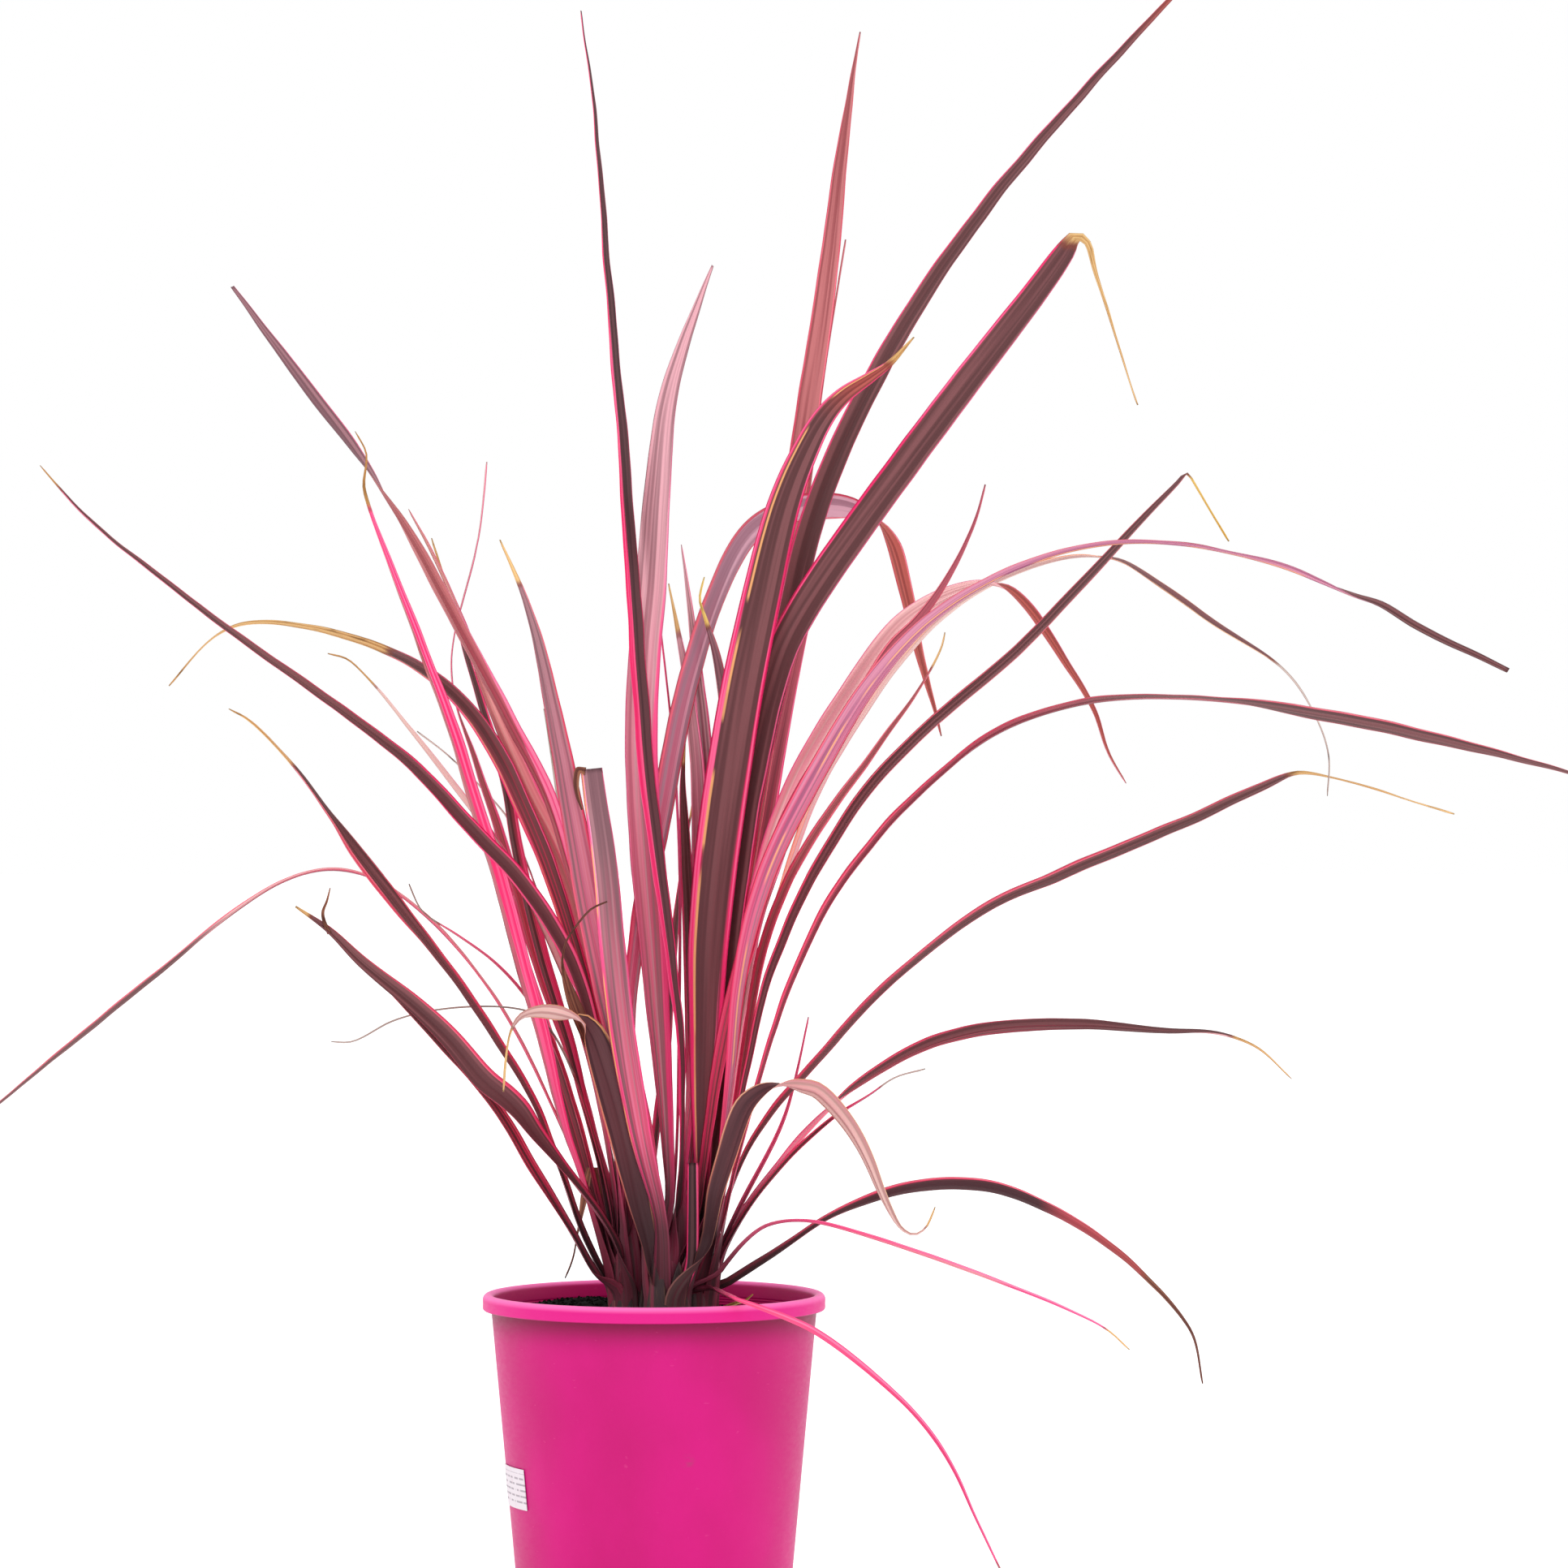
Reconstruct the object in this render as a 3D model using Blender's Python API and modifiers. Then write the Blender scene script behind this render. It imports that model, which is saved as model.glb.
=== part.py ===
"""Cabbage palm with pink-edged strap leaves in a nursery pot.

The origin is the centre of the pot's underside and +Z is up. Leaf routes are
written in millimetres as they are seen from the front: how far across from the
pot's axis, how far above the middle of the rim, and how deep into the picture.
"""
import math
from typing import NamedTuple

import bmesh
import bpy
import numpy as np
from mathutils import Vector, noise

MM = 0.001

# Pot, in millimetres
POT_HEIGHT = 205.0
RIM_MIDDLE = 200.0
RIM_RADIUS = 105.5
RIM_DEPTH = 10.0
RIM_INNER_RADIUS = 98.6
RIM_ROUNDING = 1.5
BODY_TOP_RADIUS = 100.2
BODY_BOTTOM_RADIUS = 82.2
WALL = 1.6
FLOOR = 2.4
HEEL_ROUNDING = 3.0
DRAIN_COUNT = 6
DRAIN_RADIUS = 6.0
DRAIN_CIRCLE = 52.0
DRAIN_TURN = 0.41
DRAIN_SIDES = 12
OVERCUT = 2.0
TURNED_STEPS = 48
LIP_STEPS = 7

# Potting mix, heights measured from the middle of the rim
MIX_LEVEL = -11.0
MIX_LUMP = 1.6
MIX_LUMP_SCALE = 90.0
MIX_RINGS = 9
MIX_BORDER = 1.0
FIT = 0.3
SOCKET_DEPTH = 34.0
SOCKET_SIDES = 20

# Stems: where each stands (across, deep), in millimetres
STEMS = {"left": (-14.0, 9.0), "middle": (8.0, -15.0), "right": (25.0, 11.0)}
STEM_RADIUS = 14.6
STEM_LEDGES = ((14.6, -8.5), (11.2, -3.5), (7.8, 1.5), (4.2, 6.5))
STEM_RINGS = (13.1, 9.7, 6.2, 2.4)
STEM_SIDES = 20

# Eye point that the routes are seen from
EYE_ACROSS = 80.0
EYE_UP = 318.5
EYE_AWAY = 3640.0

# Blades
THICKNESS = 0.8
FOOT_WIDTH = 5.0
FOOT_SHARE = 1.35
FOOT_SPACING = 1.3
FOOT_GAP = 0.05
KNEE_OUT = 0.6
KNEE_UP = 14.0
LEAST_WIDTH = 1.5
SWELL_REACH = 0.45
SWELL_POWER = 1.5
TAPER_START = 0.35
WITHER_REACH = 0.10
WITHER_SHARE = 0.25
WITHERED_WIDTH = 0.12
FOOT_CHANNEL = 16.0
BLADE_CHANNEL = 11.0
CHANNEL_REACH = 0.25
REACH_SAMPLES = 8
LEAST_STATIONS = 7
STATION_LENGTH = 110.0
STATION_BEND = 19.0
STATION_TWIST = 40.0

# Easing of the blades clear of each other
CLEARANCE = 0.5
SUB_BOXES = 3
EASING_ROUNDS = 160
PAIRING_ROUNDS = 6
PAIRING_REACH = 2.0
SIDEWAYS_COST = 2.5
SPARE_PUSH = 0.05
LARGEST_STEP = 1.5
SMOOTHING = 0.4
STIFFNESS = 0.1
PULL_BACK = 0.02
PULLING_SHARE = 0.6
HELD_LENGTH = 8.0
FREEING_LENGTH = 30.0
SHARING_ROUNDS = 400

# Paper label on the pot wall, turned to the left of the front by so many degrees
LABEL_WIDTH = 38.0
LABEL_TALL = 25.0
LABEL_THICKNESS = 0.4
LABEL_MIDDLE = 89.0
LABEL_TURN = 70.0
LABEL_COLUMNS = 9
LABEL_ROWS = 5


class Leaf(NamedTuple):
    """One strap leaf, from its foot on a stem to its tip.

    side is +1 for a leaf whose upper face looks left and -1 for the other hand.
    ring picks the circle of the stem that the foot stands on, outermost first.
    dry is the share of the length where the dry, narrow tip begins. Each point
    of the route is (across, up, deep, turn); turn is 90 where the upper face
    looks straight out of the picture and -90 where the underside does. A higher
    taper keeps the blade broad for longer.
    """

    name: str
    stem: str
    side: int
    ring: int
    width: float
    dry: float
    end: float
    route: tuple
    taper: float = 1.9


LEAVES = (
    Leaf("leaf_left_01", "left", -1, 1, 23, 0.95, 0.10, (
        (-21, 82, 4, 16), (-30, 136, 4, 22), (-48, 202, 2, 28), (-78, 252, 0, 30),
        (-103, 279, 0, 30), (-153, 332, 8, 27), (-203, 370, 20, 24), (-253, 406, 34, 24),
        (-303, 444, 48, 24), (-353, 486, 60, 20), (-378, 515, 66, 15))),
    Leaf("leaf_left_02", "left", -1, 2, 20, 0.97, 0.12, (
        (-21, 110, 12, -10), (-31, 172, 16, -20), (-44, 230, 20, -30), (-60, 292, 24, -35),
        (-78, 335, 27, -36), (-102, 377, 30, -36), (-131, 435, 36, -38), (-154, 476, 42, -24),
        (-178, 515, 48, 16), (-203, 548, 56, 42), (-240, 599, 68, 45), (-260, 625, 74, 45))),
    Leaf("leaf_left_03", "left", -1, 2, 20, 0.95, 0.10, (
        (-22, 100, 12, 20), (-33, 156, 14, 24), (-48, 215, 16, 30), (-62, 258, 18, 32),
        (-83, 310, 20, 32), (-103, 349, 22, 30), (-123, 374, 25, 25), (-153, 395, 30, 20),
        (-190, 410, 36, 18), (-248, 418, 46, 14), (-272, 409, 50, 12), (-299, 379, 54, 12))),
    Leaf("leaf_left_04", "left", -1, 0, 21, 0.90, 0.08, (
        (-40, 62, 6, -16), (-53, 102, 8, -24), (-65, 147, 10, -30), (-75, 190, 11, -32),
        (-88, 235, 12, -32), (-103, 287, 12, -32), (-118, 332, 13, -30), (-133, 377, 14, -30),
        (-153, 429, 16, -28), (-173, 482, 18, -26), (-179, 502, 18, -20), (-177, 522, 18, -16),
        (-184, 536, 18, -12))),
    Leaf("leaf_left_05", "left", -1, 3, 20, 0.93, 0.08, (
        (-20, 60, 14, -30), (-27, 120, 20, -40), (-36, 177, 26, -46), (-47, 232, 32, -52),
        (-62, 277, 36, -52), (-74, 302, 38, -50), (-96, 352, 42, -42), (-114, 400, 46, -32),
        (-131, 447, 50, -26), (-145, 474, 54, -20), (-151, 488, 56, -16))),
    Leaf("leaf_left_06", "left", -1, 1, 18, 0.93, 0.08, (
        (-38, 102, 18, 20), (-58, 177, 26, 24), (-66, 202, 29, 25), (-76, 247, 34, 26),
        (-85, 282, 38, 26), (-92, 322, 43, 26), (-99, 347, 46, 26), (-108, 374, 50, 25),
        (-121, 417, 55, 22), (-129, 447, 58, 18), (-137, 470, 60, 12))),
    Leaf("leaf_left_07", "left", -1, 1, 14, 0.62, 0.08, (
        (-36, 100, 30, 25), (-50, 150, 36, 28), (-66, 192, 42, 30), (-78, 237, 48, 30),
        (-91, 277, 53, 30), (-101, 307, 57, 28), (-113, 345, 62, 22), (-122, 372, 65, 18),
        (-124, 400, 67, 14), (-116, 437, 68, 12), (-106, 480, 70, 12), (-103, 517, 72, 12))),
    Leaf("leaf_left_08", "left", -1, 2, 13, 0.90, 0.08, (
        (-24, 70, 16, -10), (-34, 130, 20, -20), (-50, 190, 24, -25), (-73, 242, 28, -28),
        (-98, 284, 31, -30), (-118, 309, 33, -30), (-148, 349, 36, -28), (-166, 372, 38, -20),
        (-188, 395, 40, -15), (-201, 399, 42, -10))),
    Leaf("leaf_left_09", "left", -1, 2, 6, 0.60, 0.20, (
        (-24, 80, 24, 20), (-38, 140, 34, 20), (-58, 210, 46, 20), (-80, 275, 56, 20),
        (-92, 300, 59, 20), (-104, 312, 61, 20), (-122, 331, 63, 20), (-133, 342, 64, 20),
        (-146, 351, 65, 20))),
    Leaf("leaf_left_10", "left", -1, 0, 20, 0.94, 0.08, (
        (-41, 37, 10, 16), (-51, 62, 11, 20), (-59, 87, 12, 20), (-66, 107, 12, 20),
        (-78, 132, 13, 20), (-103, 172, 15, 22), (-128, 207, 17, 22), (-153, 239, 22, 34),
        (-178, 269, 28, 44), (-201, 302, 33, 14), (-228, 337, 38, 8), (-251, 359, 42, 8),
        (-262, 365, 44, 10))),
    Leaf("leaf_left_11", "left", -1, 0, 12, 0.97, 0.10, (
        (-36, 55, 12, 20), (-51, 95, 18, 20), (-68, 132, 24, 20), (-91, 177, 32, 20),
        (-116, 212, 39, 18), (-148, 244, 47, 15), (-176, 262, 53, 12), (-203, 266, 58, 10),
        (-228, 259, 63, 12), (-253, 244, 68, 15), (-290, 214, 75, 18), (-328, 184, 82, 18),
        (-373, 147, 90, 16), (-415, 112, 97, 12), (-438, 93, 101, 10))),
    Leaf("leaf_left_12", "left", -1, 1, 8, 0.85, 0.15, (
        (-29, 50, 10, 15), (-40, 95, 14, 15), (-56, 147, 18, 15), (-78, 187, 22, 15),
        (-105, 215, 26, 14), (-128, 230, 29, 12), (-143, 241, 31, 12), (-151, 257, 33, 12))),
    Leaf("leaf_left_13", "left", -1, 0, 25, 0.97, 0.12, (
        (-20, 28, -10, 10), (-33, 53, -14, 12), (-54, 80, -18, 16), (-70, 100, -21, 30),
        (-85, 120, -23, 52), (-105, 137, -24, 72), (-128, 164, -24, 70), (-153, 187, -24, 60),
        (-178, 207, -25, 55), (-200, 228, -26, 45), (-221, 243, -27, 30))),
    Leaf("leaf_left_14", "left", -1, 0, 16, 0.95, 0.12, (
        (-36, 18, 0, 10), (-52, 45, -6, 14), (-78, 87, -12, 22), (-103, 127, -14, 24),
        (-128, 154, -15, 24), (-150, 176, -16, 20), (-168, 196, -17, 15))),
    Leaf("leaf_left_15", "left", -1, 1, 5, 0.45, 0.30, (
        (-27, 60, 14, 15), (-40, 110, 16, 15), (-55, 152, 18, 15), (-72, 176, 20, 15),
        (-93, 181, 22, 15), (-113, 181, 24, 15), (-136, 179, 26, 15), (-160, 173, 28, 15),
        (-186, 160, 30, 15), (-199, 160, 31, 15))),
    Leaf("leaf_left_16", "middle", -1, 1, 23, 0.78, 0.10, (
        (2, 24, -24, 45), (-5, 55, -28, 55), (-12, 90, -33, 60), (-20, 117, -37, 62),
        (-28, 144, -41, 60), (-36, 164, -44, 48), (-45, 174, -46, 10), (-56, 177, -48, -35),
        (-70, 179, -50, -40), (-82, 176, -51, -30), (-89, 165, -52, -20), (-91, 147, -53, -15),
        (-93, 129, -54, -10))),
    Leaf("leaf_left_17", "middle", -1, 2, 21, 0.90, 0.08, (
        (0, 55, -24, -50), (-7, 100, -30, -55), (-15, 130, -34, -58), (-27, 177, -41, -60),
        (-38, 227, -49, -62), (-47, 277, -57, -62), (-56, 327, -65, -60), (-66, 377, -74, -55),
        (-76, 422, -84, -50), (-86, 447, -90, -40), (-95, 469, -95, -30))),
    Leaf("leaf_left_18", "middle", -1, 1, 19, 1.00, 0.80, (
        (1, 50, -30, -50), (-12, 102, -38, -55), (-20, 152, -46, -60), (-26, 200, -54, -65),
        (-30, 250, -62, -65), (-34, 290, -68, -65), (-39, 328, -72, -62))),
    Leaf("leaf_left_19", "middle", -1, 0, 16, 0.72, 0.20, (
        (-4, 50, -26, 20), (-14, 90, -31, 25), (-24, 125, -35, 30), (-38, 160, -39, 35),
        (-49, 186, -48, 40), (-55, 207, -56, 40), (-53, 222, -62, 25), (-47, 231, -66, 15),
        (-39, 241, -70, 10), (-29, 246, -74, 8))),
    Leaf("leaf_left_20", "left", -1, 0, 9, 0.70, 0.30, (
        (-29, 40, 18, 20), (-34, 72, 20, 20), (-37, 83, 20, 25), (-40, 74, 20, 40),
        (-43, 56, 20, 45), (-47, 40, 20, 40), (-50, 26, 20, 25), (-55, 14, 20, 10))),
    Leaf("leaf_middle_01", "middle", -1, 3, 15, 1.00, 0.12, (
        (14, 60, -16, 20), (17, 110, -20, 22), (16, 160, -24, 25), (10, 210, -27, 25),
        (2, 270, -29, 26), (-5, 325, -30, 27), (-11, 400, -30, 27), (-17, 490, -27, 27),
        (-25, 590, -20, 28), (-32, 670, -10, 28), (-38, 745, 2, 24), (-45, 795, 12, 18))),
    Leaf("leaf_middle_02", "middle", -1, 2, 24, 0.97, 0.08, (
        (10, 60, -12, -40), (8, 110, -11, -45), (4, 165, -10, -50), (0, 210, -9, -55),
        (-4, 265, -9, -58), (-8, 330, -9, -60), (-7, 385, -10, -62), (-3, 430, -14, -65),
        (1, 490, -26, -65), (7, 550, -46, -62), (17, 587, -64, -58), (36, 638, -92, -50)), 3.0),
    Leaf("leaf_middle_03", "middle", -1, 2, 15, 0.92, 0.08, (
        (17, 70, 4, -30), (24, 140, 10, -40), (27, 200, 16, -45), (28, 260, 22, -48),
        (27, 310, 28, -50), (23, 360, 34, -48), (18, 395, 38, -44), (12, 425, 42, -36),
        (9, 442, 44, -20)), 3.0),
    Leaf("leaf_middle_04", "middle", -1, 3, 15, 0.96, 0.10, (
        (21, 80, 8, -30), (27, 150, 16, -40), (31, 220, 24, -45), (33, 290, 32, -45),
        (31, 340, 38, -44), (26, 387, 42, -42), (21, 432, 46, -36), (17, 466, 48, -20)), 3.0),
    Leaf("leaf_middle_05", "right", -1, 2, 16, 0.92, 0.10, (
        (31, 70, 6, -20), (36, 150, 12, -30), (42, 230, 18, -35), (46, 310, 23, -40),
        (44, 365, 27, -44), (38, 398, 28, -42), (31, 421, 29, -30), (28, 432, 30, -18),
        (31, 446, 31, -12)), 3.0),
    Leaf("leaf_middle_06", "left", 1, 3, 20, 0.96, 0.08, (
        (-9, 60, 4, -25), (-14, 120, 4, -30), (-15, 175, 4, -35), (-10, 225, 5, -38),
        (-1, 270, 6, -40), (10, 322, 10, -42), (19, 370, 18, -42), (33, 415, 36, -40),
        (46, 450, 56, -40), (62, 474, 74, -44), (84, 486, 92, -54), (106, 489, 108, -60),
        (124, 487, 116, -40), (138, 480, 120, 6), (147, 465, 122, 36), (153, 445, 123, 42),
        (158, 420, 124, 42), (163, 400, 125, 40), (170, 374, 127, 34), (177, 348, 128, 25)), 3.0),
    Leaf("leaf_middle_07", "middle", -1, 2, 15, 0.95, 0.15, (
        (20, 60, 8, 25), (23, 115, 16, 32), (23, 175, 20, 38), (22, 227, 24, 42),
        (20, 271, 27, 42), (18, 301, 29, 40), (18, 325, 32, 32), (20, 345, 34, 20)), 3.0),
    Leaf("leaf_middle_08", "left", 1, 1, 12, 0.95, 0.15, (
        (-4, 60, 16, 25), (2, 110, 20, 30), (8, 160, 24, 34), (10, 190, 27, 36),
        (12, 222, 30, 36), (16, 255, 33, 32), (21, 290, 36, 22), (24, 310, 38, 16))),
    Leaf("leaf_middle_09", "middle", -1, 3, 5, 0.90, 0.30, (
        (14, 70, 4, 20), (16, 140, 12, 20), (17, 220, 18, 20), (16, 290, 24, 20),
        (12, 345, 28, 20), (7, 385, 31, 20), (3, 424, 34, 20))),
    Leaf("leaf_middle_10", "middle", 1, 0, 8, 1.00, 0.90, (
        (24, 25, -20, -75), (24, 55, -22, -75), (24, 85, -22, -75))),
    Leaf("leaf_right_01", "right", 1, 3, 19, 0.98, 0.06, (
        (33, 76, 20, 30), (40, 152, 40, 40), (50, 227, 58, 46), (60, 302, 74, 50),
        (69, 377, 88, 54), (78, 442, 100, 57), (90, 520, 112, 58), (98, 570, 119, 58),
        (106, 627, 126, 56), (112, 677, 131, 54), (117, 715, 134, 48), (123, 760, 138, 36),
        (127, 782, 140, 20)), 4.5),
    Leaf("leaf_right_02", "right", 1, 3, 5, 0.97, 0.25, (
        (34, 76, 30, 30), (44, 152, 56, 30), (56, 235, 80, 30), (68, 310, 98, 30),
        (80, 385, 113, 30), (92, 470, 127, 30), (101, 545, 136, 30), (109, 600, 141, 30),
        (114, 632, 144, 30), (118, 654, 146, 30))),
    Leaf("leaf_right_03", "right", 1, 2, 28, 0.98, 0.06, (
        (30, 60, 4, 50), (31, 110, -2, 65), (33, 165, 0, 75), (36, 227, 4, 80),
        (41, 277, 5, 82), (48, 327, 7, 82), (56, 377, 10, 82), (66, 427, 17, 80),
        (77, 477, 28, 78), (86, 505, 36, 76), (96, 528, 44, 72), (108, 548, 50, 68),
        (124, 563, 55, 62), (141, 574, 60, 52), (160, 594, 66, 34)), 3.2),
    Leaf("leaf_right_04", "right", 1, 2, 21, 1.00, 0.14, (
        (35, 80, 14, 40), (42, 160, 22, 46), (50, 240, 30, 50), (62, 320, 38, 53),
        (75, 380, 45, 54), (90, 452, 54, 54), (105, 502, 62, 52), (128, 552, 72, 50),
        (155, 602, 84, 46), (189, 652, 97, 42), (227, 702, 110, 40), (272, 752, 122, 38),
        (320, 804, 134, 34), (357, 841, 142, 25))),
    Leaf("leaf_right_05", "right", 1, 1, 23, 0.85, 0.10, (
        (36, 70, 0, 30), (43, 140, 2, 38), (50, 215, 4, 45), (58, 290, 9, 52),
        (68, 345, 12, 56), (81, 400, 16, 58), (99, 434, 20, 60), (126, 474, 28, 60),
        (155, 514, 37, 60), (181, 548, 46, 60), (210, 589, 57, 58), (236, 621, 67, 56),
        (253, 645, 75, 50), (260, 655, 77, 34), (266, 652, 78, 25), (275, 620, 79, 22),
        (286, 592, 80, 20), (298, 552, 81, 18)), 5.0),
    Leaf("leaf_right_06", "middle", 1, 1, 11, 0.95, 0.10, (
        (31, 60, -2, 25), (39, 120, -7, 30), (51, 180, -15, 35), (63, 230, -22, 40),
        (80, 285, -30, 42), (100, 325, -37, 44), (120, 357, -44, 44), (147, 402, -53, 44),
        (165, 422, -58, 40), (182, 447, -63, 35), (197, 477, -68, 28), (204, 503, -72, 20))),
    Leaf("leaf_right_07", "right", 1, 1, 22, 0.97, 0.08, (
        (38, 70, 12, -15), (44, 130, 14, -22), (51, 190, 14, -28), (58, 240, 10, -38),
        (69, 277, 0, -48), (84, 316, -15, -52), (103, 348, -25, -52), (128, 388, -30, -50),
        (152, 418, -35, -46), (181, 436, -40, -34), (205, 442, -44, -10), (217, 439, -46, 20),
        (232, 425, -48, 36), (247, 402, -50, 36), (267, 372, -52, 34), (280, 337, -54, 28),
        (291, 319, -55, 20))),
    Leaf("leaf_right_08", "middle", 1, 0, 24, 1.00, 0.30, (
        (40, 70, -15, -25), (48, 130, -25, -40), (54, 195, -31, -50), (66, 250, -42, -56),
        (80, 285, -50, -58), (102, 327, -64, -60), (132, 377, -79, -60), (165, 415, -92, -56),
        (197, 438, -102, -48), (230, 454, -111, -34), (262, 464, -119, -14), (297, 468, -126, -5),
        (337, 465, -134, 8), (372, 457, -141, -8), (400, 448, -146, -14), (425, 437, -151, 10),
        (447, 429, -155, 28), (472, 414, -160, 35), (497, 402, -165, 35), (526, 388, -170, 32))),
    Leaf("leaf_right_09", "right", 1, 1, 12, 0.85, 0.12, (
        (42, 80, 4, -15), (52, 160, 8, -18), (63, 220, 12, -20), (78, 270, 17, -20),
        (98, 320, 22, -20), (125, 363, 28, -18), (160, 408, 35, -15), (190, 433, 41, -12),
        (225, 450, 47, -8), (258, 459, 53, -4), (285, 457, 57, 10), (310, 442, 60, 22),
        (347, 416, 64, 28), (372, 401, 67, 24), (390, 387, 69, 16), (407, 362, 71, 12),
        (416, 335, 72, 10), (415, 311, 73, 10))),
    Leaf("leaf_right_10", "middle", 1, 1, 14, 0.94, 0.08, (
        (46, 90, -11, 14), (58, 165, -18, 22), (70, 225, -28, 28), (84, 260, -35, 30),
        (101, 290, -43, 32), (118, 315, -48, 32), (141, 345, -55, 30), (158, 369, -60, 25),
        (169, 387, -63, 20), (177, 403, -65, 15), (179, 412, -66, 12))),
    Leaf("leaf_right_11", "right", 1, 0, 15, 0.90, 0.10, (
        (40, 60, -17, 18), (52, 122, -27, 20), (66, 186, -35, 22), (77, 218, -40, 24),
        (91, 249, -42, 24), (108, 280, -47, 26), (127, 309, -52, 26), (148, 334, -56, 26),
        (173, 357, -60, 26), (206, 385, -65, 26), (239, 415, -70, 26), (287, 467, -78, 26),
        (322, 504, -84, 24), (328, 510, -85, 20),
        (334, 502, -86, 18), (343, 485, -87, 15), (354, 468, -88, 12))),
    Leaf("leaf_right_12", "right", 1, 0, 20, 1.00, 0.12, (
        (43, 60, -24, 14), (60, 125, -36, 18), (83, 196, -45, 22), (112, 253, -51, 24),
        (142, 291, -58, 24), (177, 326, -64, 22), (212, 351, -69, 18), (257, 367, -74, 12),
        (297, 372, -78, 8), (340, 371, -82, 6), (380, 366, -86, 16), (422, 359, -90, 24),
        (470, 349, -95, 28), (510, 339, -99, 28), (563, 326, -104, 18), (592, 318, -107, 10))),
    Leaf("leaf_right_13", "right", 1, 1, 20, 0.80, 0.10, (
        (38, 35, 16, 12), (50, 75, 20, 16), (66, 106, 22, 18), (84, 129, 30, 18),
        (103, 150, 38, 18), (139, 189, 50, 14), (174, 220, 60, 14), (212, 245, 70, 18),
        (272, 271, 82, 26), (337, 299, 94, 28), (380, 319, 102, 28), (397, 325, 105, 15),
        (417, 323, 108, 10), (447, 314, 113, 10), (493, 300, 120, 10))),
    Leaf("leaf_right_14", "right", 1, 0, 20, 0.90, 0.08, (
        (44, 40, 24, -15), (62, 69, 28, -20), (80, 90, 27, -22), (100, 112, 34, -15),
        (117, 128, 40, 10), (137, 141, 46, 18), (162, 155, 53, 26), (197, 166, 61, 32),
        (237, 170, 69, 34), (280, 169, 77, 32), (320, 166, 83, 22), (347, 165, 87, 12),
        (372, 156, 90, 10), (393, 137, 93, 10))),
    Leaf("leaf_right_15", "right", 1, 0, 10, 0.75, 0.12, (
        (42, 29, 6, 14), (57, 57, 10, 16), (72, 77, 16, 18), (97, 103, 24, 18),
        (115, 117, 30, 15), (130, 126, 34, 12), (148, 138, 38, 10), (167, 143, 41, 10))),
    Leaf("leaf_right_16", "right", 1, 0, 6, 0.90, 0.20, (
        (44, 37, 16, 30), (54, 57, 24, 30), (66, 80, 32, 30), (76, 100, 38, 30),
        (83, 118, 44, 28), (89, 146, 50, 25), (95, 175, 54, 20))),
    Leaf("leaf_right_17", "middle", 1, 0, 23, 0.90, 0.06, (
        (31, 35, -20, 40), (36, 62, -32, 46), (42, 85, -38, 50), (49, 107, -42, 50),
        (56, 123, -45, 45), (66, 132, -46, 25), (77, 135, -46, -5), (87, 133, -46, -35),
        (99, 130, -47, -50), (111, 119, -48, -55), (122, 105, -49, -55), (131, 88, -50, -52),
        (140, 67, -50, -45), (148, 50, -51, -35), (153, 44, -51, -25), (160, 41, -52, -20),
        (167, 45, -52, -15), (173, 58, -53, -12))),
    Leaf("leaf_right_18", "right", 1, 0, 20, 0.93, 0.16, (
        (46, 11, 10, 16), (62, 21, 16, 22), (80, 33, 22, 22), (98, 46, 28, 16),
        (113, 54, 33, 18), (135, 63, 41, 26), (160, 70, 49, 30), (182, 72, 55, 32),
        (215, 68, 64, 32), (262, 46, 77, 28), (297, 20, 86, 24), (320, -4, 92, 20),
        (331, -19, 95, 14), (336, -35, 96, 12), (338, -51, 97, 12))),
    Leaf("leaf_right_19", "middle", 1, 0, 10, 0.94, 0.10, (
        (40, 16, -14, -15), (47, 26, -16, -16), (57, 37, -18, -16), (67, 45, -20, -12),
        (80, 49, -24, -10), (97, 49, -28, -14), (122, 43, -32, -20), (147, 35, -36, -22),
        (172, 27, -40, -24), (222, 8, -48, -24), (252, -4, -54, -18), (280, -18, -58, -12),
        (293, -30, -60, -12))),
    Leaf("leaf_right_20", "right", 1, 0, 15, 0.90, 0.10, (
        (33, 9, -14, -40), (38, 8, -38, -20), (43, 5, -66, -8), (50, 2, -90, -8),
        (60, -2, -103, -16), (75, -8, -109, -24), (97, -18, -112, -28), (122, -36, -113, -28),
        (150, -59, -113, -26), (172, -84, -112, -20), (190, -114, -110, -16), (202, -142, -108, -12),
        (215, -168, -106, -10), (221, -181, -105, -8))),
    Leaf("leaf_back_01", "middle", 1, 2, 20, 0.95, 0.08, (
        (26, 60, 20, 80), (28, 120, 36, 82), (32, 180, 56, 82), (37, 240, 82, 82),
        (43, 290, 110, 82), (50, 340, 142, 82), (58, 385, 178, 82), (67, 425, 214, 80),
        (79, 475, 262, 70))),
    Leaf("leaf_back_02", "left", -1, 2, 15, 0.95, 0.08, (
        (-18, 60, 24, 80), (-24, 120, 44, 80), (-32, 175, 70, 80), (-41, 225, 98, 80),
        (-50, 270, 130, 80), (-58, 310, 162, 80), (-64, 345, 190, 80), (-68, 365, 206, 75))),
    Leaf("leaf_back_03", "right", 1, 2, 18, 0.95, 0.08, (
        (36, 60, 34, 72), (44, 130, 66, 78), (52, 190, 94, 78), (60, 250, 122, 80),
        (70, 310, 152, 80), (82, 370, 186, 80), (94, 420, 216, 76), (104, 455, 242, 70))),
    Leaf("leaf_back_04", "left", -1, 0, 12, 0.95, 0.10, (
        (-34, 55, 24, 70), (-48, 100, 46, 72), (-60, 140, 74, 72), (-72, 180, 106, 72),
        (-84, 220, 140, 72), (-94, 255, 170, 68), (-102, 285, 196, 60))),
)


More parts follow.
